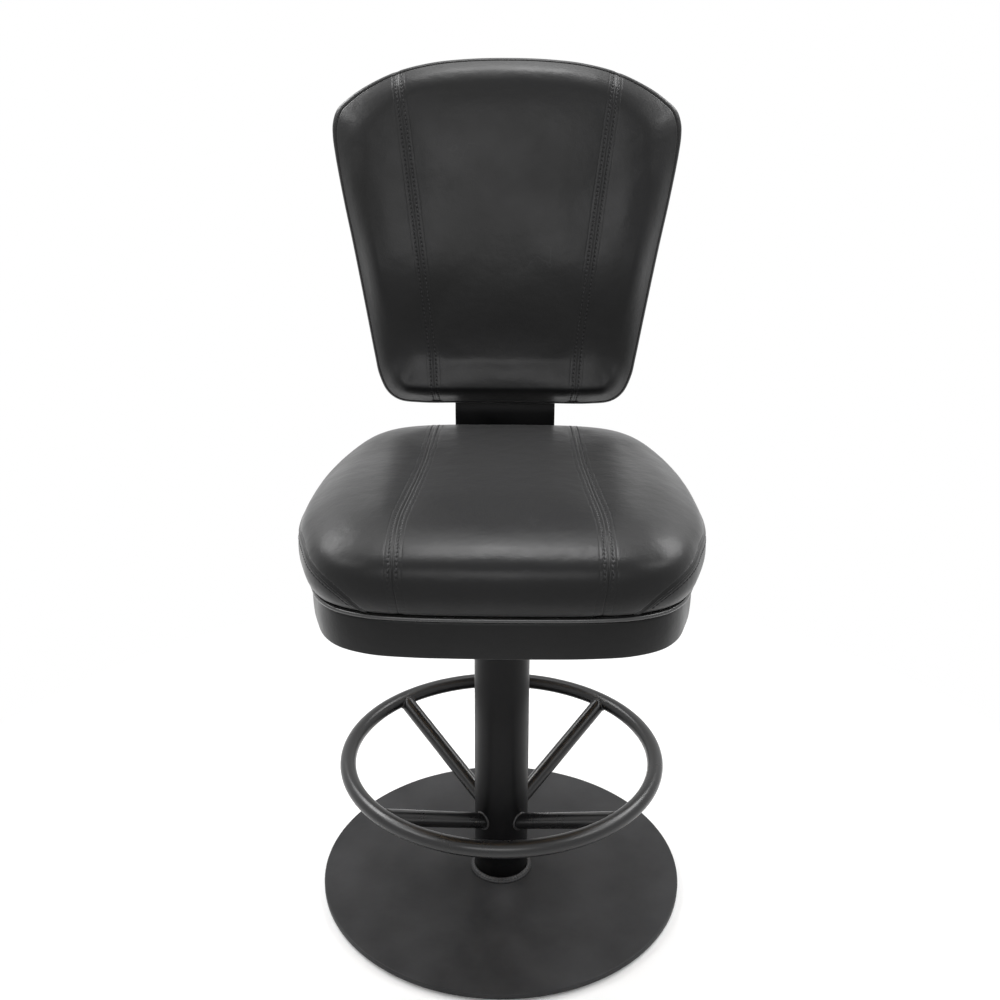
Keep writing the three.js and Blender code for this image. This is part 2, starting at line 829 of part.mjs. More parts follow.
function backFoam() {
  const boardFront = bracketThickness / 2 + backBoardThickness + 2 * seatingGap;
  const behind = box(
    [-backWidth, -backHeight, -backHeight],
    [backWidth, 2 * backHeight, boardFront],
  );
  return cut(backBody(backCoverThickness + seatingGap, 0), [behind]);
}

function backBoard() {
  const bottom = bracketThickness / 2 + seatingGap;
  const points = drawnIn(backOutline(), backBoardMargin, backHeight / 2, backWidth / 2, backHeight / 2);
  const blank = outlinePlate(points, bottom, backBoardThickness);
  const holes = backBoltPlaces().map(([x, up]) =>
    boltHole(bottom, bottom + backBoardThickness).translate(x, up, 0),
  );
  return cut(blank, holes);
}

function rearPanel() {
  const rear = backMiddleForward + backSection()[0][1] - seatingGap - rearPanelThickness;
  const points = drawnIn(backOutline(), rearPanelMargin, backHeight / 2, backWidth / 2, backHeight / 2);
  return outlinePlate(points, rear, rearPanelThickness);
}

// The base, the column and the foot ring, which stand still
function standingPart() {
  const group = new THREE.Group();
  group.add(piece("base_pad", basePad(), blackRubber));
  group.add(piece("base_plate", basePlate(), powderCoat));
  group.add(piece("column_weld", columnWeld(), powderCoat));
  group.add(piece("column_tube", columnTube(), powderCoat));
  group.add(piece("foot_ring", footRing(), powderCoat));
  for (let i = 0; i < spokeCount; i++) {
    const mesh = piece("foot_spoke_" + (i + 1), spoke(), powderCoat);
    mesh.rotation.z = firstSpokeAngle + (2 * Math.PI * i) / spokeCount;
    group.add(mesh);
  }
  group.add(piece("bearing_housing", bearingHousing(), brightSteel));
  group.add(piece("upper_bush", bush(housingTop - bushLength), nylon));
  group.add(piece("lower_bush", bush(housingBottom), nylon));
  const lowerRace = piece("lower_race", race(), brightSteel);
  lowerRace.position.z = lowerRaceTop;
  group.add(lowerRace);
  return group;
}

// The cage and its balls, which turn at half the seat's speed
function ballSet() {
  const group = new THREE.Group();
  group.add(piece("ball_cage", ballCage(), nylon));
  for (let i = 0; i < ballCount; i++) {
    const angle = (2 * Math.PI * i) / ballCount;
    const ball = new THREE.IcosahedronGeometry(ballDiameter / 2, ballDetail);
    const mesh = piece("bearing_ball_" + (i + 1), ball, brightSteel);
    const pitch = ballPitchDiameter / 2;
    mesh.position.set(pitch * Math.cos(angle), pitch * Math.sin(angle), ballHeight);
    group.add(mesh);
  }
  return group;
}

// The spindle, its nut and the swivel plate
function swivelPart() {
  const group = new THREE.Group();
  const upperRace = piece("upper_race", race(), brightSteel);
  upperRace.rotation.x = Math.PI;
  upperRace.position.z = upperRaceBottom;
  group.add(upperRace);
  group.add(piece("swivel_spindle", spindle(), brightSteel));
  const washerHole = spindleThreadDiameter + 2 * seatingGap;
  const washer = tube(retainingWasherDiameter, washerHole, washerBottom, washerTop, turnedSides);
  group.add(piece("retaining_washer", washer, zincSteel));
  group.add(piece("spindle_nut", spindleNut(), zincSteel));
  group.add(piece("swivel_plate", swivelPlate(), powderCoat));
  squarePlaces(swivelPlateSide / 2 - seatBoltInset).forEach(([x, y], i) => {
    const headTop = swivelPlateBottom - seatingGap;
    const bolt = piece("seat_bolt_" + (i + 1), hexBolt(boardTop - headTop - seatingGap), zincSteel);
    bolt.position.set(x, y, headTop);
    group.add(bolt);
    const nut = piece("t_nut_" + (i + 1), tNut(), zincSteel);
    nut.position.set(x, y, 0);
    group.add(nut);
  });
  return group;
}

// The upholstered seat
function seatPart() {
  const group = new THREE.Group();
  group.add(piece("seat_board", seatBoard(), plywood));
  group.add(piece("seat_foam", seatFoam(), foam));
  group.add(piece("seat_cover", seatCover(), blackLeather));
  group.add(piece("seat_piping", seatPiping(), blackLeather));
  group.add(piece("seat_skirt", seatSkirt(), blackLeather));
  return group;
}

// The bracket with the screws under the seat board
function bracketPart() {
  const group = new THREE.Group();
  group.add(piece("back_bracket", backBracket(), powderCoat));
  const headTop = bracketLegTop - bracketThickness - seatingGap;
  bracketScrewPlaces().forEach(([x, y], i) => {
    const screw = piece("bracket_bolt_" + (i + 1), hexBolt(boardTop - headTop - seatingGap), zincSteel);
    screw.position.set(x, y, headTop);
    group.add(screw);
  });
  return group;
}

// The upholstered back, with the bolts that hold its board to the bracket
function backPart() {
  const group = standBack(new THREE.Group());
  group.add(piece("back_board", backBoard(), plywood));
  group.add(piece("back_foam", backFoam(), foam));
  group.add(piece("back_cover", backCover(), blackLeather));
  group.add(piece("back_rear_panel", rearPanel(), blackLeather));
  const headTop = -bracketThickness / 2 - seatingGap;
  backBoltPlaces().forEach(([x, up], i) => {
    const reach = bracketThickness + backBoardThickness + seatingGap;
    const bolt = piece("back_bolt_" + (i + 1), hexBolt(reach), zincSteel);
    bolt.position.set(x, up, headTop);
    group.add(bolt);
  });
  return group;
}

const stool = new THREE.Group();
stool.add(standingPart(), ballSet(), swivelPart(), seatPart(), bracketPart(), backPart());

export default stool;
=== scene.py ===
# %% [markdown]
# # A casino stool with a back
# The stool has a round steel base, a column with a foot ring, a seat that turns and a padded back.
# It is dressed here in Blender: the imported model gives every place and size, and this script gives
# the leather, the seams, the welds and the light. Sizes are written in millimetres and turned to
# metres when a mesh is made, because that is how an upholsterer or a welder would note them down.

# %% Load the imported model
import math

import bpy
import numpy as np
from mathutils import Matrix, Vector
from mathutils.bvhtree import BVHTree
from mathutils.kdtree import KDTree


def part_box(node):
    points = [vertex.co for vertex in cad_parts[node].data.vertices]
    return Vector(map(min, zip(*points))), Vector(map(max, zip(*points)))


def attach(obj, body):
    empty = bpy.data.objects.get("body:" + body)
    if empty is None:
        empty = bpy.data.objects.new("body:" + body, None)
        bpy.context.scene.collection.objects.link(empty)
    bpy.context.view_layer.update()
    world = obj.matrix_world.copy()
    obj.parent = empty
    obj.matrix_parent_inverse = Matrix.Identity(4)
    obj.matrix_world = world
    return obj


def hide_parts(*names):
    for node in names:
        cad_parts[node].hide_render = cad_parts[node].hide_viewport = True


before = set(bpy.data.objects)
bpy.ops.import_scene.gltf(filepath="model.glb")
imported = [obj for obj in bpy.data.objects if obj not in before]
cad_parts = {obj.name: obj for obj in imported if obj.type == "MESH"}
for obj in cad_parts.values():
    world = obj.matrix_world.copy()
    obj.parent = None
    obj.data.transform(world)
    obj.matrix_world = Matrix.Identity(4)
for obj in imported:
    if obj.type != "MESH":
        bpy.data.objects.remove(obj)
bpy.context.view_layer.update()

# %% [markdown]
# ## Small tools
# Almost every piece below is a grid of points with faces between them. It could be drawn by hand in
# Edit Mode, but a grid from a formula can be made finer or coarser in one place, so two helpers
# make the faces and the object, and the pieces only say where their points are.

# %% Meshes from grids of points
MM = 0.001


def grid_faces(rows, columns, loop_rows=False, loop_columns=False, first=0):
    """The quads of a grid whose points are numbered row by row, from first."""
    i, j = np.meshgrid(np.arange(rows if loop_rows else rows - 1),
                       np.arange(columns if loop_columns else columns - 1), indexing="ij")
    i, j = i.ravel(), j.ravel()
    ahead, across = (i + 1) % rows, (j + 1) % columns
    quads = np.stack([i * columns + j, i * columns + across, ahead * columns + across,
                      ahead * columns + j], 1)
    return (quads + first).tolist()


def make_piece(name, points, faces, material, flat=False):
    """An object of that mesh, given in millimetres."""
    mesh = bpy.data.meshes.new(name)
    mesh.from_pydata((np.asarray(points, float) * MM).tolist(), [], faces)
    mesh.polygons.foreach_set("use_smooth", [not flat] * len(mesh.polygons))
    mesh.materials.append(material)
    mesh.update()
    piece = bpy.data.objects.new(name, mesh)
    bpy.context.scene.collection.objects.link(piece)
    return piece


def loft(name, rings, material, closed=False):
    """A closed body from rings of points: a loop of rings, or a stack with a cap at each end."""
    rings = np.asarray(rings, float)
    count, sides = rings.shape[:2]
    faces = grid_faces(count, sides, loop_rows=closed, loop_columns=True)
    points = rings.reshape(-1, 3)
    if not closed:
        for ring, centre, turn in ((0, count * sides, 1), (count - 1, count * sides + 1, -1)):
            around = [ring * sides + k for k in range(sides)]
            faces += [[centre, b, a][::turn] for a, b in zip(around, around[1:] + around[:1])]
        points = np.vstack([points, rings[0].mean(0), rings[-1].mean(0)])
    return make_piece(name, points, faces, material)


def all_round(count):
    """Angles spread evenly over a full turn."""
    return np.linspace(0, 2 * math.pi, count, endpoint=False)


def turned(name, profile, sides, material, closed=False):
    """A body turned about the stool's axis from (radius, height) points, from the bottom out."""
    angles = all_round(sides)
    rings = [[(r * math.cos(a), r * math.sin(a), z) for a in angles] for r, z in profile]
    return loft(name, rings, material, closed)


def unit(vectors):
    return vectors / np.maximum(np.linalg.norm(vectors, axis=-1, keepdims=True), 1e-9)


def smoothstep(value, low, high):
    t = np.clip((value - low) / (high - low), 0, 1)
    return t * t * (3 - 2 * t)


def dip(distance, width):
    """A smooth dip of depth 1 about a distance of 0."""
    return np.exp(-(distance / width) ** 2)


# %% [markdown]
# ## Materials
# Each finish is a small node tree on the Principled shader. A photograph of leather could be
# wrapped round the mesh, but a pattern made of noise needs no unwrapping, has no seams of its own
# and keeps its real size in millimetres on every piece. One function adds a node with its settings
# and its links, and one turns a colour as a web page writes it into the linear light that the
# renderer works in.

# %% Nodes and colours
def linear(code):
    """The linear colour of an sRGB hex code."""
    parts = [int(code[k:k + 2], 16) / 255 for k in (1, 3, 5)]
    return (*(c / 12.92 if c <= 0.04045 else ((c + 0.055) / 1.055) ** 2.4 for c in parts), 1.0)


def add_node(tree, kind, values=None, links=None, **settings):
    """A new node with its settings, the values of its sockets and the links into it."""
    node = tree.nodes.new(kind)
    for key, value in settings.items():
        setattr(node, key, value)
    for key, value in (values or {}).items():
        node.inputs[key].default_value = value
    for key, socket in (links or {}).items():
        tree.links.new(socket, node.inputs[key])
    return node


def new_material(name, **values):
    """A material with a bare Principled shader, its nodes, and the place of each point."""
    material = bpy.data.materials.new(name)
    material.use_nodes = True
    tree = material.node_tree
    for key, value in values.items():
        tree.nodes["Principled BSDF"].inputs[key.replace("_", " ")].default_value = value
    return material, tree, add_node(tree, "ShaderNodeTexCoord").outputs["Object"]


def finished(material, **sockets):
    """The material, with sockets led into the inputs of its shader."""
    tree = material.node_tree
    for key, socket in sockets.items():
        tree.links.new(socket, tree.nodes["Principled BSDF"].inputs[key.replace("_", " ")])
    return material


def noise(tree, place, size, detail=3.0, roughness=0.5):
    """Soft noise whose blots are about size millimetres wide."""
    return add_node(tree, "ShaderNodeTexNoise",
                    {"Scale": 1 / (size * MM), "Detail": detail, "Roughness": roughness},
                    {"Vector": place}).outputs["Fac"]


def blend_colours(tree, factor, first, second):
    """A mix of two hex colours by a factor socket."""
    return add_node(tree, "ShaderNodeMix", {6: linear(first), 7: linear(second)}, {0: factor},
                    data_type="RGBA").outputs[2]


def spread(tree, factor, low, high, start=0.3, end=0.7):
    """A factor stretched to run from low to high."""
    return add_node(tree, "ShaderNodeMapRange",
                    {"From Min": start, "From Max": end, "To Min": low, "To Max": high},
                    {"Value": factor}).outputs["Result"]


def bump(tree, height, depth, strength, under=None):
    """A bump of that depth in millimetres, on top of another one."""
    links = {"Height": height}
    if under is not None:
        links["Normal"] = under
    return add_node(tree, "ShaderNodeBump", {"Distance": depth * MM, "Strength": strength},
                    links).outputs["Normal"]


# %% [markdown]
# ### Leatherette
# The cover is black leatherette: a knitted cloth with a soft plastic skin, embossed with a fine
# leather grain. The skin gives a broad, soft sheen rather than a mirror, and it is stretched, so
# there is hardly a wrinkle. The real grain is about 0.8 mm, finer than the picture can show, so it
# is drawn at 1.8 mm. A wider noise stands for the soft creases, and the widest one for hands and
# clothes that have polished some places more than others. Thin marks follow the places where a
# noise crosses its middle value, kept only in a few patches: these are the fine creases and scuffs.

# %% Leatherette
GRAIN, GRAIN_DEPTH = 1.8, 0.12
CREASE, CREASE_DEPTH = 26, 2.2
HANDLED, POLISHED = 140, 0.05
SCUFF, SCUFF_LINE, SCUFF_PATCH, SCUFF_SHOWN = 55, 0.012, 93.5, 0.7


def leatherette(name, dark, light, roughness, gloss):
    material, tree, place = new_material(
        name, IOR=1.5, Specular_IOR_Level=gloss, Sheen_Weight=0.1, Sheen_Roughness=0.5)
    worn = noise(tree, place, HANDLED, 6.0, 0.6)
    off_line = add_node(tree, "ShaderNodeMath", {1: 0.5}, {0: noise(tree, place, SCUFF, 3.0)},
                        operation="SUBTRACT").outputs[0]
    off_line = add_node(tree, "ShaderNodeMath", None, {0: off_line},
                        operation="ABSOLUTE").outputs[0]
    line = spread(tree, off_line, 1, 0, 0.0, SCUFF_LINE)
    patch = spread(tree, noise(tree, place, SCUFF_PATCH, 2.0), 0, 1, 0.6, 0.72)
    scuff = add_node(tree, "ShaderNodeMath", None, {0: line, 1: patch},
                     operation="MULTIPLY").outputs[0]
    cells = add_node(tree, "ShaderNodeTexVoronoi", {"Scale": 1 / (GRAIN * MM), "Randomness": 0.9},
                     {"Vector": place}).outputs["Distance"]
    soft = bump(tree, noise(tree, place, CREASE, 5.0, 0.55), CREASE_DEPTH, 0.35)
    skin = blend_colours(tree, spread(tree, worn, 0, 1), dark, light)
    marked = add_node(tree, "ShaderNodeMix", {7: linear("#222223")},
                      {0: spread(tree, scuff, 0, SCUFF_SHOWN, 0.0, 1.0), 6: skin},
                      data_type="RGBA").outputs[2]
    sheen = spread(tree, worn, roughness + POLISHED, roughness - POLISHED, 0.35, 0.65)
    return finished(material, Base_Color=marked, Roughness=sheen,
                    Normal=bump(tree, cells, GRAIN_DEPTH, 0.3, soft))


leather = leatherette("leatherette_black_embossed", "#0d0d0d", "#171718", 0.34, 0.17)
piping_leather = leatherette("leatherette_black_piping", "#111111", "#19191a", 0.24, 0.7)
print("leatherette:", leather.name, piping_leather.name)

# %% [markdown]
# ### Polyester thread
# The top-stitching is bonded polyester thread, black like the cover but matt. It doesn't take part
# in the highlights of the leatherette: on a bright roll the stitches are dark dots, and in the
# shade they are faint light ones.

# %% Thread
def bonded_thread():
    material, tree, place = new_material("polyester_thread_bonded", Roughness=0.7, IOR=1.5,
                                         Specular_IOR_Level=0.15)
    strands = noise(tree, place, 0.8, 2.0)
    return finished(material, Base_Color=blend_colours(tree, strands, "#29292a", "#3a3a3b"))


thread = bonded_thread()

# %% [markdown]
# ### Powder-coated steel
# The frame is mild steel with a black powder coat, baked on in an oven. The powder melts into a
# tough skin that isn't quite flat: it has a fine orange peel, about 1 mm wide, drawn here at
# 2.5 mm. Dust leaves faint clouds on the base plate, and shoes polish the foot ring and its
# spokes, so these have the most gloss. The welds and the base plate carry the same black coat,
# but are given lighter greys: that is painted light, for the light they catch from above.

# %% Powder coat
PEEL, PEEL_DEPTH = 2.5, 0.06
SMUDGE, SMUDGE_DULL = 90, 0.06


def powder_coat(name, dark, light, roughness, gloss):
    material, tree, place = new_material(name, IOR=1.5, Specular_IOR_Level=gloss)
    clouds = noise(tree, place, SMUDGE, 5.0, 0.6)
    peel = noise(tree, place, PEEL, 2.0)
    colour = blend_colours(tree, spread(tree, clouds, 0, 1), dark, light)
    dull = spread(tree, clouds, roughness - SMUDGE_DULL, roughness + SMUDGE_DULL)
    return finished(material, Base_Color=colour, Roughness=dull,
                    Normal=bump(tree, peel, PEEL_DEPTH, 0.12))


coated_steel = powder_coat("steel_powder_coated_black", "#0e0e0f", "#151516", 0.36, 0.15)
coated_bar = powder_coat("steel_bar_powder_coated_black", "#0f0f10", "#171718", 0.3, 0.42)
# painted highlight: the welds are coated black like the frame, and this lighter grey stands for the
# light the bead catches
painted_light_weld_coat = powder_coat("weld_powder_coat_painted_highlight", "#353536", "#464647", 0.42, 0.2)
# painted light: the plate is coated black like the column, and this lighter grey stands for the
# light its top reflects
painted_light_plate_coat = powder_coat("steel_plate_powder_coat_painted_light", "#262627", "#363637", 0.46, 0.15)

# %% [markdown]
# ### Bright metals
# The bearing parts are turned steel, whose cutting marks run round the axis, and the bolts and nuts
# are plated with zinc, which has a slightly cool, cloudy shine. Both are metals, so their colour is
# the colour of the reflection and their IOR stays as it is.

# %% Turned steel and zinc
TURNING_MARK = 0.7
WAVE_RADIANS = 20  # what the wave texture turns through in a metre at a scale of 1


def turned_steel():
    material, tree, place = new_material("steel_turned", Metallic=1.0)
    settings = {"Scale": 1 / (TURNING_MARK * MM * WAVE_RADIANS), "Distortion": 0.4, "Detail": 2.0}
    marks = add_node(tree, "ShaderNodeTexWave", settings, {"Vector": place}, wave_type="RINGS",
                     rings_direction="Z").outputs["Fac"]
    return finished(material, Base_Color=blend_colours(tree, marks, "#8a8c8e", "#a4a6a8"),
                    Roughness=spread(tree, marks, 0.26, 0.36, 0.0, 1.0),
                    Normal=bump(tree, marks, 0.05, 0.3))


def zinc_plate():
    material, tree, place = new_material("steel_zinc_plated", Metallic=1.0)
    clouds = noise(tree, place, 6, 4.0)
    colour = blend_colours(tree, spread(tree, clouds, 0, 1), "#a9aba6", "#c3c6c4")
    return finished(material, Base_Color=colour, Roughness=spread(tree, clouds, 0.28, 0.42))


steel = turned_steel()
zinc = zinc_plate()

# %% [markdown]
# ### Nylon, rubber and plywood
# The bushes and the ball cage are moulded nylon: milky, a little waxy. The pad under the base is
# black rubber, which hardly shines. The seat and back boards are birch plywood, with long grain on
# the faces and thin dark glue lines between the plies at the edges.

# %% Nylon, rubber and plywood
PLY = 1.5


def moulded_nylon():
    material, tree, place = new_material("nylon_moulded", IOR=1.53)
    clouds = noise(tree, place, 8)
    return finished(material, Base_Color=blend_colours(tree, clouds, "#cfc9b8", "#dcd7c8"),
                    Roughness=spread(tree, clouds, 0.45, 0.55))


def black_rubber():
    material, tree, place = new_material("rubber_moulded_black", IOR=1.52)
    specks = noise(tree, place, 1.2, 2.0)
    return finished(material, Base_Color=blend_colours(tree, specks, "#121212", "#1b1b1b"),
                    Roughness=spread(tree, specks, 0.75, 0.9), Normal=bump(tree, specks, 0.1, 0.4))


def birch_plywood(name, lean):
    """Plywood whose faces lean back by an angle from lying flat."""
    material, tree, place = new_material(name, IOR=1.5)
    normal = add_node(tree, "ShaderNodeTexCoord").outputs["Normal"]
    flat, level = (add_node(tree, "ShaderNodeMapping", {"Rotation": (-lean, 0, 0)},
                            {"Vector": vector}).outputs["Vector"] for vector in (place, normal))
    stretched = add_node(tree, "ShaderNodeMapping", {"Scale": (0.08, 1, 1)},
                         {"Vector": flat}).outputs["Vector"]
    grain = noise(tree, stretched, 5, 6.0, 0.6)
    face = blend_colours(tree, spread(tree, grain, 0, 1), "#b8925e", "#d2b07c")
    layers = add_node(tree, "ShaderNodeTexWave",
                      {"Scale": 1 / (PLY * MM * WAVE_RADIANS), "Distortion": 0.3},
                      {"Vector": flat}, bands_direction="Z").outputs["Fac"]
    edge = blend_colours(tree, layers, "#7d5c38", "#cfae7d")
    upright = add_node(tree, "ShaderNodeSeparateXYZ", None, {"Vector": level}).outputs["Z"]
    upright = add_node(tree, "ShaderNodeMath", None, {0: upright}, operation="ABSOLUTE").outputs[0]
    facing = add_node(tree, "ShaderNodeMath", {1: 0.5}, {0: upright},
                      operation="GREATER_THAN").outputs[0]
    mixed = add_node(tree, "ShaderNodeMix", None, {0: facing, 6: edge, 7: face},
                     data_type="RGBA").outputs[2]
    return finished(material, Base_Color=mixed, Roughness=spread(tree, grain, 0.62, 0.75),
                    Normal=bump(tree, grain, 0.1, 0.3))


BACK_LEAN = math.radians(9)
nylon = moulded_nylon()
rubber = black_rubber()
seat_ply = birch_plywood("plywood_birch_seat", 0)
back_ply = birch_plywood("plywood_birch_back", math.pi / 2 - BACK_LEAN)

# %% [markdown]
# ## Hardware that keeps its CAD shape
# Inside the column and under the seat sit the housing, the bearing, the spindle and the bolts. They
# are plain turned and pressed parts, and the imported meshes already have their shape, so they only
# get their finish.

# %% Dress the hardware
finishes = {
    rubber: ["base_pad"],
    steel: ["bearing_housing", "lower_race", "upper_race", "swivel_spindle"]
           + [f"bearing_ball_{k}" for k in range(1, 11)],
    nylon: ["upper_bush", "lower_bush", "ball_cage"],
    zinc: ["retaining_washer", "spindle_nut"]
          + [f"{kind}_{k}" for kind in ("seat_bolt", "t_nut", "bracket_bolt", "back_bolt")
             for k in range(1, 5)],
    coated_steel: ["swivel_plate"],
    seat_ply: ["seat_board"],
    back_ply: ["back_board"],
}
for finish, names in finishes.items():
    for name in names:
        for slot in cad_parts[name].material_slots:
            slot.material = finish
print("dressed:", sum(len(names) for names in finishes.values()), "nodes")

# %% [markdown]
# ## The base plate and its column
# The base is a steel disc, 515 mm across and 8 mm thick, with its sharp corner broken by a small
# round. That round matters: it is the thin light line along the rim. The plate is turned from a
# profile, and it could be a cylinder with a Bevel modifier, but in a profile the rings beside the
# round can be set close to it, so that the flat faces stay flat in the shading.

# %% Base plate and column
def quarter(centre_radius, centre_height, radius, start, steps=4):
    """A quarter of a circle in a profile, anticlockwise from an angle in degrees."""
    angles = np.radians(np.linspace(start, start + 90, steps + 1))
    return [(centre_radius + radius * math.cos(a), centre_height + radius * math.sin(a))
            for a in angles]


PLATE_RADIUS, PLATE_BOTTOM, PLATE_TOP, RIM_ROUND, HOLD = 257.5, 3.3, 11.3, 1.5, 0.6
PLATE_SIDES, COLUMN_SIDES = 180, 96
inner_rings = [60, 110, 160, 205, 240, PLATE_RADIUS - RIM_ROUND - HOLD]
profile = [(r, PLATE_BOTTOM) for r in inner_rings]
profile += quarter(PLATE_RADIUS - RIM_ROUND, PLATE_BOTTOM + RIM_ROUND, RIM_ROUND, -90)
profile += quarter(PLATE_RADIUS - RIM_ROUND, PLATE_TOP - RIM_ROUND, RIM_ROUND, 0)
profile += [(r, PLATE_TOP) for r in inner_rings[::-1]]
base_plate = turned("base_disc", profile, PLATE_SIDES, painted_light_plate_coat)

COLUMN_RADIUS, COLUMN_WALL = 38.05, 3.2
column_low, column_high = [corner.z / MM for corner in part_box("column_tube")]
inside = COLUMN_RADIUS - COLUMN_WALL
levels = np.linspace(column_low, column_high, 12)
profile = [(COLUMN_RADIUS, z) for z in levels] + [(inside, z) for z in levels[::-1]]
column = turned("column_pipe", profile, COLUMN_SIDES, coated_steel, closed=True)
print("column:", round(column_low, 1), "to", round(column_high, 1), "mm")

# %% [markdown]
# ### Weld beads
# The column is welded to the plate all round, and the spokes to the column and the ring. A bead of
# weld is a row of small overlapping puddles, about 4 mm apart, so its section swells and shrinks
# along its length. Each bead is a section carried round a curve, with a ripple on its size. Where a
# round spoke meets the round column, that curve is where the two surfaces meet, worked out by
# walking along the spoke until it touches.

# %% Column weld
RIPPLE_PITCH, RIPPLE_MIDDLE, RIPPLE_CHANCE = 4.2, 0.6, 0.01
chance = np.random.default_rng(7)


def ripples(length, count, share):
    """How much a bead swells at points along its length, by a share of its size."""
    along = np.linspace(0, length, count, endpoint=False)
    waves = round(length / RIPPLE_PITCH)
    wave = np.abs(np.sin(math.pi * waves * along / length))
    return 1 + share * (wave - RIPPLE_MIDDLE) + chance.normal(0, RIPPLE_CHANCE, count)


WELD_LEG, BULGE = 6, 0.9
PASSES, PASS_DIP, PASS_WIDTH = (0.55, 1.05), 0.1, 0.13
GAP = 0.3
foot = COLUMN_RADIUS + GAP
swell = ripples(2 * math.pi * foot, 360, 0.07)
rings = []
for k, grow in enumerate(swell):
    a = 2 * math.pi * k / len(swell)
    section = [(foot, column_low)]
    for t in np.linspace(0, math.pi / 2, 15):
        leg = WELD_LEG * grow * (1 - PASS_DIP * sum(dip(t - line, PASS_WIDTH) for line in PASSES))
        section.append((foot + leg * math.cos(t) ** BULGE, column_low + leg * math.sin(t) ** BULGE))
    rings.append([(r * math.cos(a), r * math.sin(a), z) for r, z in section])
column_bead = loft("column_weld_bead", rings[::-1], painted_light_weld_coat, closed=True)

# %% [markdown]
# ### Foot ring and spokes
# The ring is a 22 mm bar bent to a circle and closed with a weld, and four spokes slope up to it
# from the column. The feet rest on it, so it is smooth and has the brightest highlights of the
# frame.

# %% Foot ring, spokes and their welds
RING_RADIUS, RING_HEIGHT, BAR, RING_SIDES, BAR_SIDES = 216, 199, 11, 220, 28
SPOKE_FOOT, SPOKE_SIDES, SPOKE_REACH, WALK_STEPS = 106, 32, 260, 5201
profile = [(RING_RADIUS + BAR * math.cos(a), RING_HEIGHT + BAR * math.sin(a))
           for a in all_round(BAR_SIDES)]
foot_ring = turned("foot_ring_bar", profile, RING_SIDES, coated_bar, closed=True)

slope = (RING_HEIGHT - SPOKE_FOOT) / (RING_RADIUS - COLUMN_RADIUS)
spoke_from = np.array([0, 0, SPOKE_FOOT - slope * COLUMN_RADIUS])
spoke_along = unit(np.array([RING_RADIUS, 0, RING_HEIGHT]) - spoke_from)
spoke_side = np.array([0, 1, 0])
spoke_up = np.cross(spoke_side, spoke_along)


def spoke_ends(angle, radius):
    """Where a line on the spoke's surface leaves the column and where it reaches the ring."""
    start = spoke_from + radius * (math.cos(angle) * spoke_side + math.sin(angle) * spoke_up)
    walk = start + np.linspace(0, SPOKE_REACH, WALK_STEPS)[:, None] * spoke_along
    across = np.hypot(walk[:, 0], walk[:, 1])
    leaves = int(np.argmax(across >= COLUMN_RADIUS + GAP))
    ring_gap = np.hypot(across - RING_RADIUS, walk[:, 2] - RING_HEIGHT)
    near = ring_gap <= BAR + GAP
    reaches = int(np.argmax(near)) if near.any() else int(np.argmin(ring_gap))
    return walk[leaves], walk[reaches]


def lines_round(count, radius):
    """The angles of lines all round the spoke, with their starts and their ends."""
    angles = all_round(count)
    return angles, *map(np.array, zip(*(spoke_ends(a, radius) for a in angles)))


BEAD_SIDES = 10


def bead_round(name, path, centre, sizes):
    """A bead of weld along a closed curve round the spoke, of its own size at each point."""
    ahead = unit(np.roll(path, -1, 0) - np.roll(path, 1, 0))
    out = unit(path - centre)
    side = unit(np.cross(ahead, out))
    length = np.linalg.norm(np.roll(path, -1, 0) - path, axis=1).sum()
    grow = (ripples(length, len(path), 0.1) * sizes)[:, None, None]
    turn = all_round(BEAD_SIDES)[None, :, None]
    rings = path[:, None] + grow * (np.cos(turn) * out[:, None] + np.sin(turn) * side[:, None])
    return loft(name, rings, painted_light_weld_coat, closed=True)


angles, starts, ends = lines_round(SPOKE_SIDES, BAR)
spoke_rings = np.array([starts + share * (ends - starts)
                        for share in (0, 0.03, 0.25, 0.5, 0.75, 0.97, 1)])
BEAD_STEPS, BEAD_BITE, INNER_BEAD, OUTER_BEAD = 96, 0.3, 2.0, 1.7
SIDE_SHORTER, SIDE_THINNER = 0.012, 0.7
angles, bead_starts, bead_ends = lines_round(BEAD_STEPS, BAR - BEAD_BITE)
bead_reach = 1 - SIDE_SHORTER * np.sin(angles) ** 8
bead_ends = bead_starts + (bead_ends - bead_starts) * bead_reach[:, None]
beads = (("inner", bead_starts, INNER_BEAD),
         ("outer", bead_ends, OUTER_BEAD * (1 - SIDE_THINNER * np.sin(angles) ** 2)))
frame_pieces = [base_plate, column, column_bead, foot_ring]
for k in range(1, 5):
    rotate = np.array(Matrix.Rotation(math.pi / 4 + math.pi / 2 * (k - 1), 3, "Z")).T
    spoke = loft(f"spoke_bar_{k}", spoke_rings @ rotate, coated_bar)
    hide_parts(f"foot_spoke_{k}")
    frame_pieces.append(spoke)
    for end, places, sizes in beads:
        frame_pieces.append(bead_round(f"spoke_weld_{end}_{k}", places @ rotate,
                                       places.mean(0) @ rotate, sizes))
print("spoke length:", round(float(np.linalg.norm(ends.mean(0) - starts.mean(0))), 1), "mm")

# %% The frame rides on the base
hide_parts("base_plate")
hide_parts("column_tube")
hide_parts("column_weld")
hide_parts("foot_ring")
for piece in frame_pieces:
    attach(piece, "base")

# %% [markdown]
# ## The outline of the seat and of the back
# Both cushions follow a drawn outline, like the card template that a foam cutter uses. A few points
# on one half are mirrored and joined by a smooth curve that passes through them all. They are
# written as shares of the width and the reach. The curve is then walked at an even pace, so that
# the mesh has even faces.

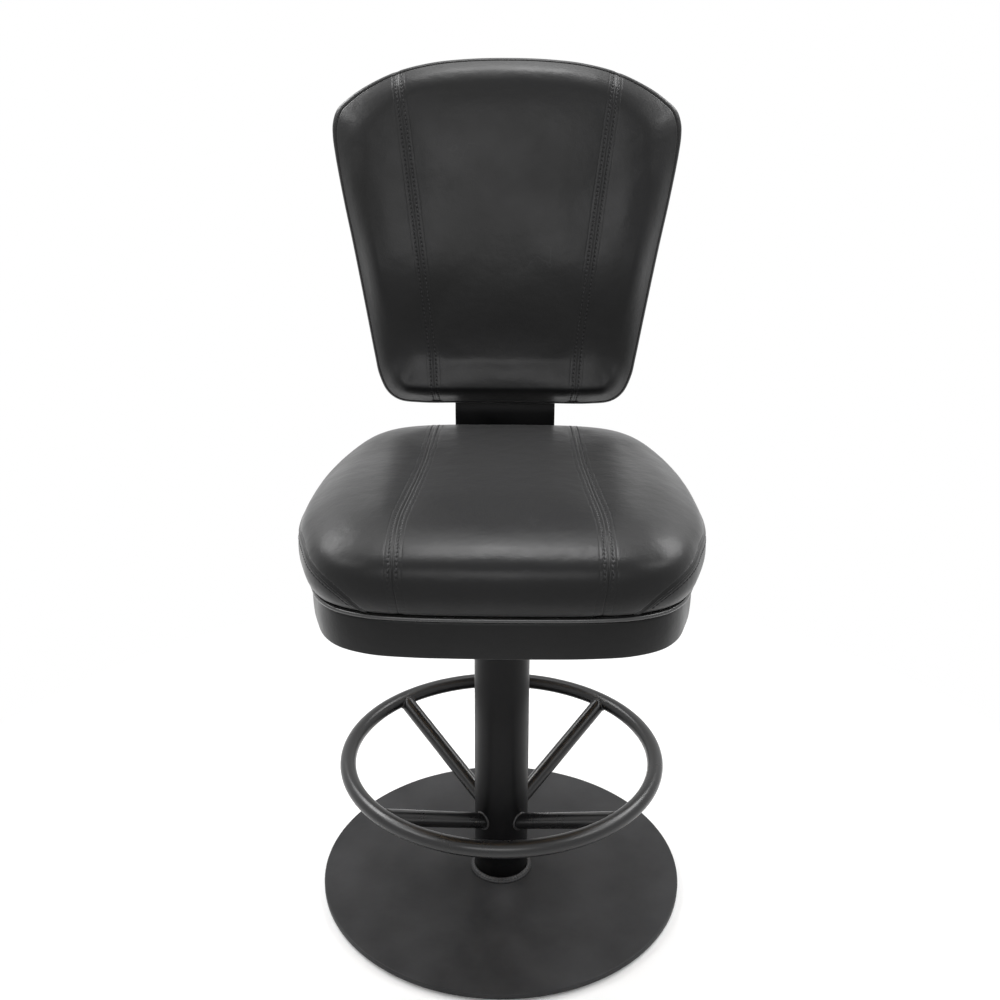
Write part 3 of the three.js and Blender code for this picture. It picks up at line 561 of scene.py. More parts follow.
# %% Outlines
def smooth_curve(points, closed, dense=24):
    """A centripetal Catmull-Rom curve through points, finely sampled."""
    p = np.asarray(points, float)
    if not closed:
        p = np.vstack([2 * p[0] - p[1], p, 2 * p[-1] - p[-2]])
    spans = range(len(p)) if closed else range(1, len(p) - 2)
    out = []
    for k in spans:
        a, b, c, d = (p[(k + s) % len(p)] for s in (-1, 0, 1, 2))
        gaps = [math.sqrt(np.linalg.norm(y - x)) for x, y in ((a, b), (b, c), (c, d))]
        before, here, after = gaps
        rise = ((b - a) / before - (c - a) / (before + here) + (c - b) / here) * here
        fall = ((c - b) / here - (d - b) / (here + after) + (d - c) / after) * here
        for t in np.linspace(0, 1, dense, endpoint=False):
            out.append(b + rise * t + (-3 * b + 3 * c - 2 * rise - fall) * t ** 2
                       + (2 * b - 2 * c + rise + fall) * t ** 3)
    if not closed:
        out.append(p[-2])
    return np.array(out)


def even_pace(curve, closed):
    """A function that gives the point at a share of the curve's length."""
    path = np.vstack([curve, curve[:1]]) if closed else curve
    steps = np.linalg.norm(np.diff(path, axis=0), axis=1)
    walked = np.concatenate([[0], np.cumsum(steps)])

    def at(share):
        share = np.asarray(share, float)
        length = (share % 1 if closed else share) * walked[-1]
        return np.stack([np.interp(length, walked, values) for values in path.T], -1)

    at.length = walked[-1]
    return at


def mirrored(half):
    """A closed outline, anticlockwise from the rear or top middle, from its right half."""
    half = np.asarray(half, float)
    left = half * [-1, 1]
    return np.vstack([left, half[1:-1][::-1]])


SEAT_WIDTH, SEAT_FRONT, SEAT_REAR = 506, 259, 260
seat_shares = [
    (0, 1), (0.34, 0.995), (0.55, 0.97), (0.73, 0.9), (0.85, 0.77), (0.925, 0.59), (0.966, 0.38),
    (0.99, 0.17), (1, -0.04), (1, -0.235), (0.978, -0.45), (0.933, -0.62), (0.872, -0.78),
    (0.785, -0.885), (0.63, -0.96), (0.42, -0.99), (0.21, -0.998), (0, -1)]
BACK_WIDTH, BACK_HEIGHT = 497, 486
back_shares = [
    (0, 1), (0.22, 0.997), (0.43, 0.986), (0.63, 0.961), (0.81, 0.919), (0.905, 0.887),
    (0.97, 0.857), (0.997, 0.82), (1, 0.785), (0.989, 0.735), (0.943, 0.6), (0.896, 0.48),
    (0.85, 0.355), (0.807, 0.235), (0.773, 0.14), (0.75, 0.085), (0.7, 0.033), (0.63, 0.008),
    (0.5, 0), (0.25, 0), (0, 0)]
seat_half = [(x * SEAT_WIDTH / 2, y * (SEAT_REAR if y > 0 else SEAT_FRONT)) for x, y in seat_shares]
back_half = [(x * BACK_WIDTH / 2, y * BACK_HEIGHT) for x, y in back_shares]
seat_outline = even_pace(smooth_curve(mirrored(seat_half), True), True)
back_outline = even_pace(smooth_curve(mirrored(back_half), True), True)
print("outlines:", round(seat_outline.length), "and", round(back_outline.length), "mm round")

# %% [markdown]
# ## A sheet for each cushion
# A cushion's cover is one sheet that starts at the lower edge, rolls over the side and crosses the
# top. Rings that shrink to one point would leave a pinched spot in the middle, so the sheet is a
# square grid instead: its outermost square is the lower edge, and every smaller square is a ring
# nearer the middle. The four corners of the squares are put where the cushion has its own corners.

# %% Square sheets
def square_sheet(levels, corners):
    """The ring (0 at the edge) and the share of the outline for each point of a square grid."""
    half = len(levels) - 1
    steps = np.arange(-half, half + 1)
    j, i = np.meshgrid(steps, steps, indexing="ij")
    ring = np.maximum(np.abs(i), np.abs(j))
    u, w = i / np.maximum(ring, 1), j / np.maximum(ring, 1)
    rear, front = corners
    share = np.select([j == ring, j == -ring, i == -ring, i == ring],
                      [-u * rear, front + (1 + u) / 2 * (1 - 2 * front),
                       rear + (1 - w) / 2 * (front - rear),
                       1 - front + (1 + w) / 2 * (front - rear)])
    return np.asarray(levels, float)[::-1][ring], share % 1


def edge_walk(size):
    """The grid's outermost points in order, anticlockwise seen from the front of the sheet."""
    last = size - 1
    cells = [(0, k) for k in range(last)] + [(k, last) for k in range(last)]
    cells += [(last, k) for k in range(last, 0, -1)] + [(k, 0) for k in range(last, 0, -1)]
    return [row * size + column for row, column in cells]


def sheet_normals(points):
    """The directions square to a grid of points."""
    return unit(np.cross(np.gradient(points, axis=1), np.gradient(points, axis=0)))


# %% [markdown]
# ### The seat cushion's section
# Cut through, the cushion bulges a third of the way up, rolls over to a nearly flat top and tucks
# in underneath. The rear edge is rolled tighter than the sides. The list gives the inset from the
# widest line and the height, as shares of the roll and of the cushion's height.

# %% Seat form
CUSHION_BOTTOM, CUSHION_HEIGHT, SEAT_ROLL, REAR_TIGHTER = 530.6, 88, 90, 0.7
WIDEST_SHARE = 0.36
WIDEST = CUSHION_BOTTOM + WIDEST_SHARE * CUSHION_HEIGHT
DOME, DOME_START, DOME_REACH, DOME_REAR_LOSS, DOME_REAR_START = 8, 22, 38, 0.4, 100
seat_section_shares = [
    (0.16, 0), (0.09, 0.045), (0.024, 0.19), (0, WIDEST_SHARE), (0.022, 0.575), (0.1, 0.732),
    (0.235, 0.845), (0.455, 0.917), (0.8, 0.956), (1.4, 0.98), (2.1, 0.995)]
seat_section = smooth_curve([(a * SEAT_ROLL, CUSHION_BOTTOM + b * CUSHION_HEIGHT)
                             for a, b in seat_section_shares], False)
seat_profile = even_pace(seat_section, False)
SEAT_FLAT = SEAT_WIDTH / 2 - seat_section[-1][0]
seat_way = seat_profile.length + SEAT_FLAT


def on_section(profile, flat, way):
    """The inset and the height at a distance along a section, and the share left of its middle."""
    section = profile(np.minimum(way, profile.length) / profile.length)
    left = np.clip((profile.length + flat - way) / flat, 0, 1)
    return section[..., 0], section[..., 1], left


def seat_ring(outline_points, inset, level):
    """Points of the seat's outline drawn in, tighter at the rear above the widest line."""
    x, y = outline_points[..., 0], outline_points[..., 1]
    tighter = REAR_TIGHTER * smoothstep(y, SEAT_REAR / 2, SEAT_REAR) * (level > WIDEST)
    here = inset * (1 - tighter)
    reach = np.where(y > 0, SEAT_REAR, SEAT_FRONT)
    return np.stack([x * (1 - here / (SEAT_WIDTH / 2)), y * (1 - here / reach),
                     np.broadcast_to(level, x.shape)], -1)


def seat_surface(way, share):
    """The seat's cover at a distance in from its lower edge and a share of its outline."""
    inset, level, left = on_section(seat_profile, SEAT_FLAT, way)
    points = seat_ring(seat_outline(share), inset, level)
    points[..., :2] *= left[..., None]
    points[..., 2] += CUSHION_HEIGHT * (1 - seat_section_shares[-1][1]) * (1 - left ** 2)
    dome = DOME * (1 - np.exp(-np.maximum(inset - DOME_START, 0) / DOME_REACH))
    kept = 1 - DOME_REAR_LOSS * smoothstep(points[..., 1], DOME_REAR_START, SEAT_REAR)
    points[..., 2] += (level > WIDEST) * dome * kept
    return points


# %% [markdown]
# ### Where the seams run
# Two long seams divide the seat into a middle and two sides. They run from the rear, flare a little
# towards the front and go over the front edge down to the piping. The back has two of its own.
# Their distance from the middle is measured at a few places and joined smoothly.

# %% Seam places
seat_seam_top = [(-222, 119), (-170, 118), (-93, 111.5), (37, 104), (195, 102), (260, 101)]
seat_seam_front = [(530, 113), (538, 113.7), (552, 115), (576, 118.5), (601, 119)]
back_seam = [(-10, 99), (0, 99.5), (23, 102), (70, 105), (194, 119), (329, 136), (398, 145),
             (458, 153), (500, 159)]
FRONT_LOW = 601


def through(table, value):
    """The smooth value of a table at a place."""
    path = smooth_curve(table, False)
    return np.interp(value, path[:, 0], path[:, 1])


def seat_seam_gap(points):
    """How far points of the seat are to the side of the nearer long seam."""
    x, y, z = points[..., 0], points[..., 1], points[..., 2]
    front = (y < 0) & (z < FRONT_LOW)
    return np.abs(x) - np.where(front, through(seat_seam_front, z), through(seat_seam_top, y))


def back_seam_gap(points):
    return np.abs(points[..., 0]) - through(back_seam, points[..., 1])


# %% [markdown]
# ### Filling the cushions
# A real cover is sewn a little too small and the foam pushes it out between the seams. Blender's
# cloth simulation does the same: the sheet starts a few millimetres low, the seams and the lower
# edge are pinned, and pressure from inside lifts the rest. A limit on how far each point may move
# keeps the outline, a little smoothing takes out ripples, and the result is stored in the mesh.

# %% Cloth simulation and filling
PRESSURE, FRAMES, QUALITY, LEAST_PIN = 4.0, 20, 5, 0.01
SMOOTHING, QUICK_SMOOTHING = 16, 3
START_LOW, MOST_LIFT, SEAM_HOLD, SEAM_HOLD_WIDTH = 2.2, 1.5, 0.85, 6.0


def relaxed(values, rounds):
    """A grid of values or points evened out, apart from its edge."""
    values = values.copy()
    for _ in range(rounds):
        middle = (values[:-2, 1:-1] + values[2:, 1:-1] + values[1:-1, :-2] + values[1:-1, 2:]) / 4
        values[1:-1, 1:-1] += 0.5 * (middle - values[1:-1, 1:-1])
    return values


def fill_out(name, points, pins, limit):
    """The grid of points, swollen square to itself by pressure, by at most limit at each point."""
    rows, columns = points.shape[:2]
    normals = sheet_normals(points)
    sheet = make_piece(name, points.reshape(-1, 3), grid_faces(rows, columns), leather)
    group = sheet.vertex_groups.new(name="pins")
    for index, weight in enumerate(pins.ravel()):
        if weight > LEAST_PIN:
            group.add([index], float(weight), "REPLACE")
    cloth = sheet.modifiers.new("cloth", "CLOTH")
    cloth.settings.vertex_group_mass = "pins"
    cloth.settings.use_pressure = True
    cloth.settings.uniform_pressure_force = PRESSURE
    cloth.settings.effector_weights.gravity = 0
    cloth.settings.quality = QUALITY
    cloth.collision_settings.use_collision = False
    cloth.point_cache.frame_start, cloth.point_cache.frame_end = 1, FRAMES
    scene = bpy.context.scene
    for step in range(1, FRAMES + 1):
        scene.frame_set(step)
    made = sheet.evaluated_get(bpy.context.evaluated_depsgraph_get()).to_mesh()
    moved = np.array([v.co for v in made.vertices]).reshape(rows, columns, 3) / MM
    scene.frame_set(1)
    mesh = sheet.data
    bpy.data.objects.remove(sheet)
    bpy.data.meshes.remove(mesh)
    lift = ((moved - points) * normals).sum(-1)
    print(name, "rose by", round(float(lift.min()), 1), "to", round(float(lift.max()), 1), "mm")
    return points + relaxed(np.clip(lift, 0, limit), SMOOTHING)[..., None] * normals


def filled(name, form, inward, rounds, eased, lowered, pinned, seam_gap):
    """A cushion's sheet, evened out in its middle, started low and filled between its seams.

    eased, lowered and pinned say how far in from the lower edge each of these starts and ends.
    """
    form = form + smoothstep(inward, *eased)[..., None] * (relaxed(form, rounds) - form)
    low = START_LOW * smoothstep(inward, *lowered)
    start = form - sheet_normals(form) * low[..., None]
    held = SEAM_HOLD * dip(seam_gap(form), SEAM_HOLD_WIDTH)
    return fill_out(name, start, np.maximum(1 - smoothstep(inward, *pinned), held), MOST_LIFT * low)


# %% Seat cushion
SEAT_RINGS = 64
seat_ways = np.concatenate([[0, 1.5, 4], np.linspace(8, seat_way, SEAT_RINGS - 2)])
seat_inward, seat_share = square_sheet(seat_ways, (0.125, 0.375))
seat_points = filled("seat_sheet", seat_surface(seat_inward, seat_share), seat_inward,
                     30, (60, 120), (20, 90), (4, 24), seat_seam_gap)
print("seat top:", round(float(seat_points[..., 2].max()), 1), "mm")


# %% [markdown]
# ### Closing the cushion underneath
# The sheet is closed below by a hollow that fits over the board, as the foam and the cover do on
# the real seat, so that the cushion is one closed body. That is done once its seams are known,
# because their thread pulls the cover down.

# %% Close a sheet into a body
def close_sheet(name, points, floor_rings):
    """One closed body: the sheet, then rings that lead in from its edge to a middle point."""
    size = points.shape[0]
    faces = grid_faces(size, size)
    outer = edge_walk(size)
    total = size * size
    for _ in floor_rings:
        inner = list(range(total, total + len(outer)))
        pairs = zip(outer, outer[1:] + outer[:1], inner[1:] + inner[:1], inner)
        faces += [[a, d, c, b] for a, b, c, d in pairs]
        total += len(outer)
        outer = inner
    faces += [[total, b, a] for a, b in zip(outer, outer[1:] + outer[:1])]
    every = [points.reshape(-1, 3), *floor_rings, floor_rings[-1].mean(0)[None]]
    return make_piece(name, np.vstack(every), faces, leather)


def edge_share(share, size):
    return share.ravel()[edge_walk(size)]


# %% [markdown]
# ### The back cushion's section
# The back is thinner. From its rear edge the cover comes forward over a narrow side, meets the
# front panel at a seam, and the front swells out. Up its height it has a roll at the bottom, a
# hollow, and a fuller part for the small of the back. The roll round the front is tighter at the
# top and the bottom and wider at the shoulders. It is made lying on its rear, then stood up on its
# lean.

# %% Back form
BACK_MIDDLE, SIDE_DEPTH, CROWN, BACK_ROLL, LUMBAR = 12.5, 26, 24, 60, 16
EDGE_SHARE = 0.08
TOP_TIGHTER, TOP_START, BOTTOM_TIGHTER, BOTTOM_END = 0.1, 0.9, 0.35, 0.1
SHOULDER_WIDER, SHOULDER_AT, SHOULDER_SPAN, SHOULDER_FADE = 0.45, 0.8, 0.1, 3.4
SWELL_FULL = 0.65
side_shares = [(0.05, -0.92), (0.006, -0.5), (0, 0.2), (0.004, 0.72), (0.02, 0.89), (EDGE_SHARE, 1)]
front_shares = [(0.2, 0.3), (0.36, 0.6), (0.62, 0.83), (1, 0.95), (1.7, 1), (2.5, 1), (3.3, 1)]
swell_shares = [(0, 0.5), (0.04, 0.8), (0.15, 0.02), (0.4, 1), (0.65, 0.4), (0.9, 0.2), (1, 0)]
back_section = [(a * BACK_ROLL, b * SIDE_DEPTH) for a, b in side_shares]
back_section += [(a * BACK_ROLL, SIDE_DEPTH + b * CROWN) for a, b in front_shares]
back_curve = smooth_curve(back_section, False)
back_profile = even_pace(back_curve, False)
BACK_FLAT = BACK_WIDTH / 2 - back_curve[-1][0]
back_way = back_profile.length + BACK_FLAT
edge_point = int(np.argmin(np.hypot(*(back_curve - [EDGE_SHARE * BACK_ROLL, SIDE_DEPTH]).T)))
edge_way = float(np.linalg.norm(np.diff(back_curve[:edge_point + 1], axis=0), axis=1).sum())


def back_swell(share):
    """How much the front swells at a share of its height."""
    total = np.zeros(np.shape(share))
    for (low, start), (high, end) in zip(swell_shares, swell_shares[1:]):
        inside = (share > low) & (share <= high)
        total = np.where(inside, start + (end - start) * smoothstep(share, low, high), total)
    return LUMBAR * total


def drawn_in(outline_points, inset):
    """The back's outline drawn in towards its middle."""
    x, y = outline_points[..., 0], outline_points[..., 1]
    middle = BACK_HEIGHT / 2
    return x * (1 - inset / (BACK_WIDTH / 2)), middle + (y - middle) * (1 - inset / middle)


def back_surface(way, share):
    """The back's cover, lying: X across, Y up the back, Z towards the sitter."""
    inset, depth, left = on_section(back_profile, BACK_FLAT, way)
    outline = back_outline(share)
    up = outline[..., 1] / BACK_HEIGHT
    near_edge = 1 - smoothstep(inset, BACK_ROLL, SHOULDER_FADE * BACK_ROLL)
    roll = 1 - TOP_TIGHTER * smoothstep(up, TOP_START, 1)
    roll = roll - BOTTOM_TIGHTER * smoothstep(-up, -BOTTOM_END, 0)
    roll = roll + SHOULDER_WIDER * dip(up - SHOULDER_AT, SHOULDER_SPAN) * near_edge
    x, y = drawn_in(outline, inset * np.where(depth > 0, roll, 1))
    x, y = x * left, BACK_HEIGHT / 2 + (y - BACK_HEIGHT / 2) * left
    swells = smoothstep(inset, BACK_ROLL * EDGE_SHARE, SWELL_FULL * BACK_ROLL) * (depth > 0)
    return np.stack([x, y, BACK_MIDDLE + depth + swells * back_swell(y / BACK_HEIGHT)], -1)


# %% [markdown]
# ### The back cushion
# The seam between the narrow side and the front panel runs all round, so it is made in the sheet
# itself: a few rings lie close together there, and the middle one is drawn in to a thin groove.

# %% Back cushion
groove_ways = edge_way + np.array([-2.6, -1.6, -0.7, 0, 0.7, 1.6, 3.0])
groove_depths = np.array([0, 0, 0.2, 1.6, 0.2, 0, 0])
BACK_RINGS = 64
back_ways = np.concatenate([np.linspace(0, groove_ways[0] - 4, 7), groove_ways,
                            np.linspace(groove_ways[-1] + 4, back_way, BACK_RINGS + 1 - 14)])
back_inward, back_share = square_sheet(back_ways, (0.152, 0.404))
back_points = filled("back_sheet", back_surface(back_inward, back_share), back_inward,
                     40, *(edge_way + np.array([(30, 80), (8, 70), (3, 22)])), back_seam_gap)
groove = np.interp(back_inward, groove_ways, groove_depths, 0, 0)
back_points = back_points - sheet_normals(back_points) * groove[..., None]

# %% The back stands up
BACK_FOOT = np.array([0, 269.99, 644.29])
stand = Matrix.Rotation(math.pi / 2 - BACK_LEAN, 4, "X")


def stood(points):
    """Points of the lying back, in place behind the seat."""
    return np.asarray(points, float) @ np.array(stand)[:3, :3].T + BACK_FOOT


REAR_EDGE, BOARD_FRONT, SLOT_TOP, SLOT_HALF = -11.42, 16.8, 5.5, 76.5


def back_floor_ring(share, inset, level):
    x, y = drawn_in(back_outline(share), inset)
    return np.stack([x, y, np.broadcast_to(level, x.shape)], -1)


# %% [markdown]
# ## Top-stitched seams
# On the real cover the panels are joined, the spare leather underneath is folded open, and a row of
# stitches on each side holds it down. So each long seam has a thin dark line in its middle, a soft
# ridge on each side of it, and a row of needle holes beyond each ridge. The seam is a narrow strip
# that is laid on the cushion: rays find the surface below it, and a relief of ridges, lines and
# holes is added. Sculpting could do it too, but a relief stays exact over the whole length.

# %% Strips laid on a cushion
RAY_REACH, STRIP_DEPTH = 15.0, 2.4


def surface_tree(points):
    """A search tree of a grid of points, to find places on its surface."""
    rows, columns = points.shape[:2]
    return BVHTree.FromPolygons(points.reshape(-1, 3).tolist(), grid_faces(rows, columns))


def even_path(points, step):
    """The path walked again at an even step."""
    walk = even_pace(np.asarray(points, float), False)
    return walk(np.linspace(0, 1, max(2, round(walk.length / step) + 1)))


def averaged(values, width):
    """Values along a path, averaged over their neighbours."""
    kernel = np.ones(width) / width
    padded = np.pad(values, ((width // 2, width // 2), (0, 0)), mode="edge")
    return np.stack([np.convolve(padded[:, k], kernel, "valid") for k in range(values.shape[1])], 1)


def lay_strip(tree, path, offsets, heights, width):
    """A strip along a path on a surface: its points, and the directions square to it."""
    normals = unit(averaged(np.array([tree.find_nearest(Vector(p))[1] for p in path]), width))
    ahead = unit(averaged(np.gradient(path, axis=0), width))
    side = unit(np.cross(ahead, normals))
    rows = []
    for offset in offsets:
        hits = []
        for place, normal in zip(path + offset * side, normals):
            start = Vector(place + RAY_REACH * normal)
            hit = tree.ray_cast(start, Vector(-normal), 2 * RAY_REACH)[0]
            hits.append(place if hit is None else np.array(hit))
        rows.append(hits)
    surface = np.array(rows).transpose(1, 0, 2)
    return surface + np.asarray(heights)[..., None] * normals[:, None], normals


def strip_piece(name, points, normals):
    """The strip as a thin closed body that reaches down into the cushion."""
    under = points[:, [-1, 0]] - STRIP_DEPTH * normals[:, None]
    return loft(name, np.concatenate([points, under], 1)[::-1], leather)


# %% [markdown]
# ### The bed under a seam
# The strip would stand proud of the cushion, so the cushion is lowered a little beneath it. The bed
# has to stay as narrow as the strip, and the mesh that was filled is too coarse for that, so it
# gets one more point between every two before the seams are pressed in.

# %% Press a seam in
SEAM_BED, BED_FULL, BED_REACH = 1.3, 1.5, 5


def finer(points):
    """A grid of points with one more between every two."""
    for axis in (0, 1):
        points = np.moveaxis(points, axis, 0)
        closer = np.empty((2 * len(points) - 1, *points.shape[1:]))
        closer[::2] = points
        closer[1::2] = (points[:-1] + points[1:]) / 2
        points = np.moveaxis(closer, 0, axis)
    return points


def finer_round(shares):
    """Shares of an outline with one more between every two, all the way round."""
    steps = (np.roll(shares, -1) - shares + 0.5) % 1 - 0.5
    return np.stack([shares, (shares + steps / 2) % 1], 1).ravel()


def pressed_in(points, path, full, reach):
    """A cushion's points lowered beneath a seam: fully up to one distance, not past another."""
    tree = KDTree(len(path))
    for index, place in enumerate(path):
        tree.insert(Vector(place), index)
    tree.balance()
    away = np.array([tree.find(Vector(p))[2] for p in points.reshape(-1, 3)])
    depth = SEAM_BED * (1 - smoothstep(away.reshape(points.shape[:2]), full, reach))
    return points - depth[..., None] * sheet_normals(points)


# %% [markdown]
# ### The relief of a seam
# Top-stitching in heavy thread has long stitches, so there is a needle hole every 6 mm. The
# leather is drawn down at each hole and stands up in between. Where the seat turns down at its
# front, the rows of stitches end and only the line of the seam goes on.

# %% Seam relief
STITCH_PITCH, STRIP_STEP = 6.0, 0.75
PITCH_STEPS = round(STITCH_PITCH / STRIP_STEP)
RIDGE, RIDGE_AT, RIDGE_WIDTH, RIDGE_LEFT = 0.22, 0.45, 0.24, 0.35
ROW_DIP, ROW_WIDTH, HOLE_DIP, HOLE_WIDTH = 0.15, 0.8, 1.0, 1.1
EDGE_RISE, EDGE_SINK = 0.1, 0.3


def seam_offsets(row):
    """Distances to the side of the strip's points, closer together where it has detail."""
    half = [0.22, 0.6, 1.2, 2.0, 2.8]
    half += [row + step for step in (-0.75, -0.35, 0, 0.35, 0.75, 1.6, 3.0, 4.5, 6.5)]
    return np.array([-h for h in half[::-1]] + half)


def seam_relief(offsets, along, row, stitched, line_depth):
    """Heights of a seam over the cushion, with two rows of stitches where it is stitched."""
    away = np.abs(offsets)[None, :]
    hole = ((along + STITCH_PITCH / 2) % STITCH_PITCH - STITCH_PITCH / 2)[:, None]
    shown = stitched[:, None]
    ridge = RIDGE * dip(away - RIDGE_AT * row, RIDGE_WIDTH * row)
    ridge = ridge * (RIDGE_LEFT + (1 - RIDGE_LEFT) * shown)
    rows = shown * dip(away - row, ROW_WIDTH) * (ROW_DIP + HOLE_DIP * dip(hole, HOLE_WIDTH))
    edge = EDGE_RISE * (1 - smoothstep(away, row + 1.0, row + 4.5))
    edge = edge - EDGE_SINK * smoothstep(away, row + 4.3, row + 6.5)
    return edge + ridge - line_depth * dip(away, 0.5) - rows


# %% [markdown]
# ### The stitches
# Between two holes the thread lies on the leather as a short bar, arched along the row. Each stitch
# is a small closed body, thin at its ends, and all the stitches of a cushion are in one mesh.

# %% Stitches
STITCH_LENGTH, THREAD_RADIUS, THREAD_SIDES = 4.4, 0.5, 6
THREAD_LIE = -0.25


def stitch_bodies(path, normals):
    """The rings of points of each stitch along a path on a surface."""
    walk = even_pace(np.hstack([path, normals]), False)
    length = float(np.linalg.norm(np.diff(path, axis=0), axis=1).sum())
    shares = (np.arange(int(length / STITCH_PITCH)) + 0.5) * STITCH_PITCH / length
    spans = np.array([-0.5, -0.4, -0.15, 0.15, 0.4, 0.5])
    widths = np.array([0.25, 0.8, 1.0, 1.0, 0.8, 0.25])[:, None, None] * THREAD_RADIUS
    lifts = np.array([-0.5, -0.05, 0.2, 0.2, -0.05, -0.5])
    turn = all_round(THREAD_SIDES)[None, :, None]
    bodies = []
    for share in shares:
        both = walk(share + spans * STITCH_LENGTH / length)
        centre, normal = both[:, :3], unit(both[:, 3:])
        side = unit(np.cross(unit(centre[-1] - centre[0]), normal))
        middle = (centre + lifts[:, None] * normal)[:, None]
        bodies.append(middle + widths * (np.cos(turn) * side[:, None]
                                         + np.sin(turn) * normal[:, None]))
    return bodies


def stitches(name, rows):
    """One mesh of the stitches along several rows."""
    bodies = np.array([body for row in rows for body in stitch_bodies(*row)])
    count, rings, sides = bodies.shape[:3]
    faces = []
    for first in range(0, count * rings * sides, rings * sides):
        faces += grid_faces(rings, sides, loop_columns=True, first=first)
        start_cap = [first + k for k in range(sides)]
        faces += [start_cap[::-1], [k + (rings - 1) * sides for k in start_cap]]
    print(name, count, "stitches")
    return make_piece(name, bodies.reshape(-1, 3), faces, thread)


# %% [markdown]
# ### Sewing a seam
# One function sews a whole seam: it lays the strip, and along it the two rows for the stitches. A
# second one sews a seam on each side of the middle and presses its bed into the cushion.

# %% Sew a seam
SEAM_SMOOTHING = 31


def sew(tree, name, path, row, stitched, line_depth):
    """A top-stitched seam: its strip, its path and the paths of its two rows of stitches."""
    path = even_path(path, STRIP_STEP)
    along = np.arange(len(path)) * STRIP_STEP
    shown = stitched(path)
    offsets = seam_offsets(row)
    heights = seam_relief(offsets, along, row, shown, line_depth)
    points, normals = lay_strip(tree, path, offsets, heights, SEAM_SMOOTHING)
    band = strip_piece(name, points, normals)
    kept = np.flatnonzero(shown > 0.5)
    first, last = (k // PITCH_STEPS * PITCH_STEPS for k in (kept[0], kept[-1]))
    under = path[first:last + 1]
    rows = []
    for offset in (-row, row):
        line, line_normals = lay_strip(tree, under, [offset],
                                       np.full((len(under), 1), THREAD_LIE), SEAM_SMOOTHING)
        rows.append((line[:, 0], line_normals))
    return band, path, rows


def sew_both(tree, name, places, row, stitched, line_depth, bedded):
    """A left and a right seam, and the cushion's points with a bed for each."""
    bands, rows = [], []
    for number, side in ((1, -1), (2, 1)):
        band, path, stitch_rows = sew(tree, f"{name}_{number}", places(side), row, stitched,
                                      line_depth)
        bedded = pressed_in(bedded, path, row + BED_FULL, row + BED_REACH)
        bands.append(band)
        rows += stitch_rows
    return bands, rows, bedded


# %% Long seams of the seat
SEAT_ROW, SEAM_REAR = 4.7, 236
FRONT_TURN = (-150.0, 545.0)
seat_tree = surface_tree(seat_points)


def seat_seam_places(side):
    """Places on the seat along one long seam, from the rear edge to the front's lower edge."""
    rays = [((side * through(seat_seam_top, y), y, 700.0), (0, 0, -1))
            for y in np.arange(SEAM_REAR, FRONT_TURN[0], -4.0)]
    for angle in np.radians(np.linspace(90, -6, 60)):
        direction = (0, -math.cos(angle), math.sin(angle))
        hit = seat_tree.ray_cast(Vector((side * 116, *FRONT_TURN)), Vector(direction))[0]
        if hit is not None:
            low = hit.z < FRONT_LOW
            across = through(seat_seam_front, hit.z) if low else through(seat_seam_top, hit.y)
            rays.append(((side * across, *FRONT_TURN), direction))
    hits = [seat_tree.ray_cast(Vector(start), Vector(way))[0] for start, way in rays]
    return [h for h in hits if h is not None and h.z > CUSHION_BOTTOM + 1.2]


seat_pieces, seat_rows, seat_bedded = sew_both(
    seat_tree, "seat_seam_band", seat_seam_places, SEAT_ROW,
    lambda path: smoothstep(path[:, 2], 560, 575), 0.9, finer(seat_points))

# %% [markdown]
# ### The side panel of the seat
# Round the sides and the rear, the cushion has a separate lower panel. The top panel laps over it
# with a folded edge, which catches a thin light line. At each front corner the seam drops
# diagonally to the piping, and a row of stitches runs beside it.

# %% Side panel seam
side_seam = [(-57.5, 531.8), (-56.4, 537), (-54.5, 549), (-51.5, 560), (-47.5, 569), (-42, 576),
             (-36, 580), (-29, 580), (-20, 577.5), (0, 575), (45, 575), (90, 575)]
lap_relief = [(-5.5, -0.15), (-4, 0.05), (-2.6, 0.3), (-1.7, 0.7), (-1.1, 1.1), (-0.6, 1.25),
              (-0.2, 1), (0.05, 0.35), (0.3, -0.5), (0.8, -0.6), (1.5, -0.35), (2.6, -0.1),
              (4, 0.03), (5.5, -0.15)]
LAP_STEP, LAP_SMOOTHING, LAP_FULL, LAP_REACH = 1.5, 15, 2.5, 5
LAP_ROW, LAP_THREAD, ROW_TRIM = 6.6, 0.05, 12


def side_seam_path():
    """Places along the side seam, from the left front round the rear to the right front."""
    right = smooth_curve(side_seam, False)
    left = np.stack([180 - right[:, 0], right[:, 1]], 1)
    hits = []
    for angle, level in np.vstack([right, left[::-1][1:]]):
        a = math.radians(angle)
        way = Vector((math.cos(a), math.sin(a), 0))
        hit = seat_tree.ray_cast(Vector((0, 0, level)), way)[0]
        if hit is not None:
            hits.append(hit)
    return even_path(hits, LAP_STEP)


def lap_strip(offsets, heights):
    """A strip along the side seam, with the same heights all the way."""
    return lay_strip(seat_tree, path, offsets, np.tile(heights, (len(path), 1)), LAP_SMOOTHING)


path = side_seam_path()
seat_pieces.append(strip_piece("seat_side_seam", *lap_strip(*zip(*lap_relief))))
seat_bedded = pressed_in(seat_bedded, lap_strip([0], [0])[0][:, 0], LAP_FULL, LAP_REACH)
line, line_normals = lap_strip([LAP_ROW], [LAP_THREAD])
seat_rows.append((line[ROW_TRIM:-ROW_TRIM, 0], line_normals[ROW_TRIM:-ROW_TRIM]))
seat_stitches = stitches("seat_stitching", seat_rows)

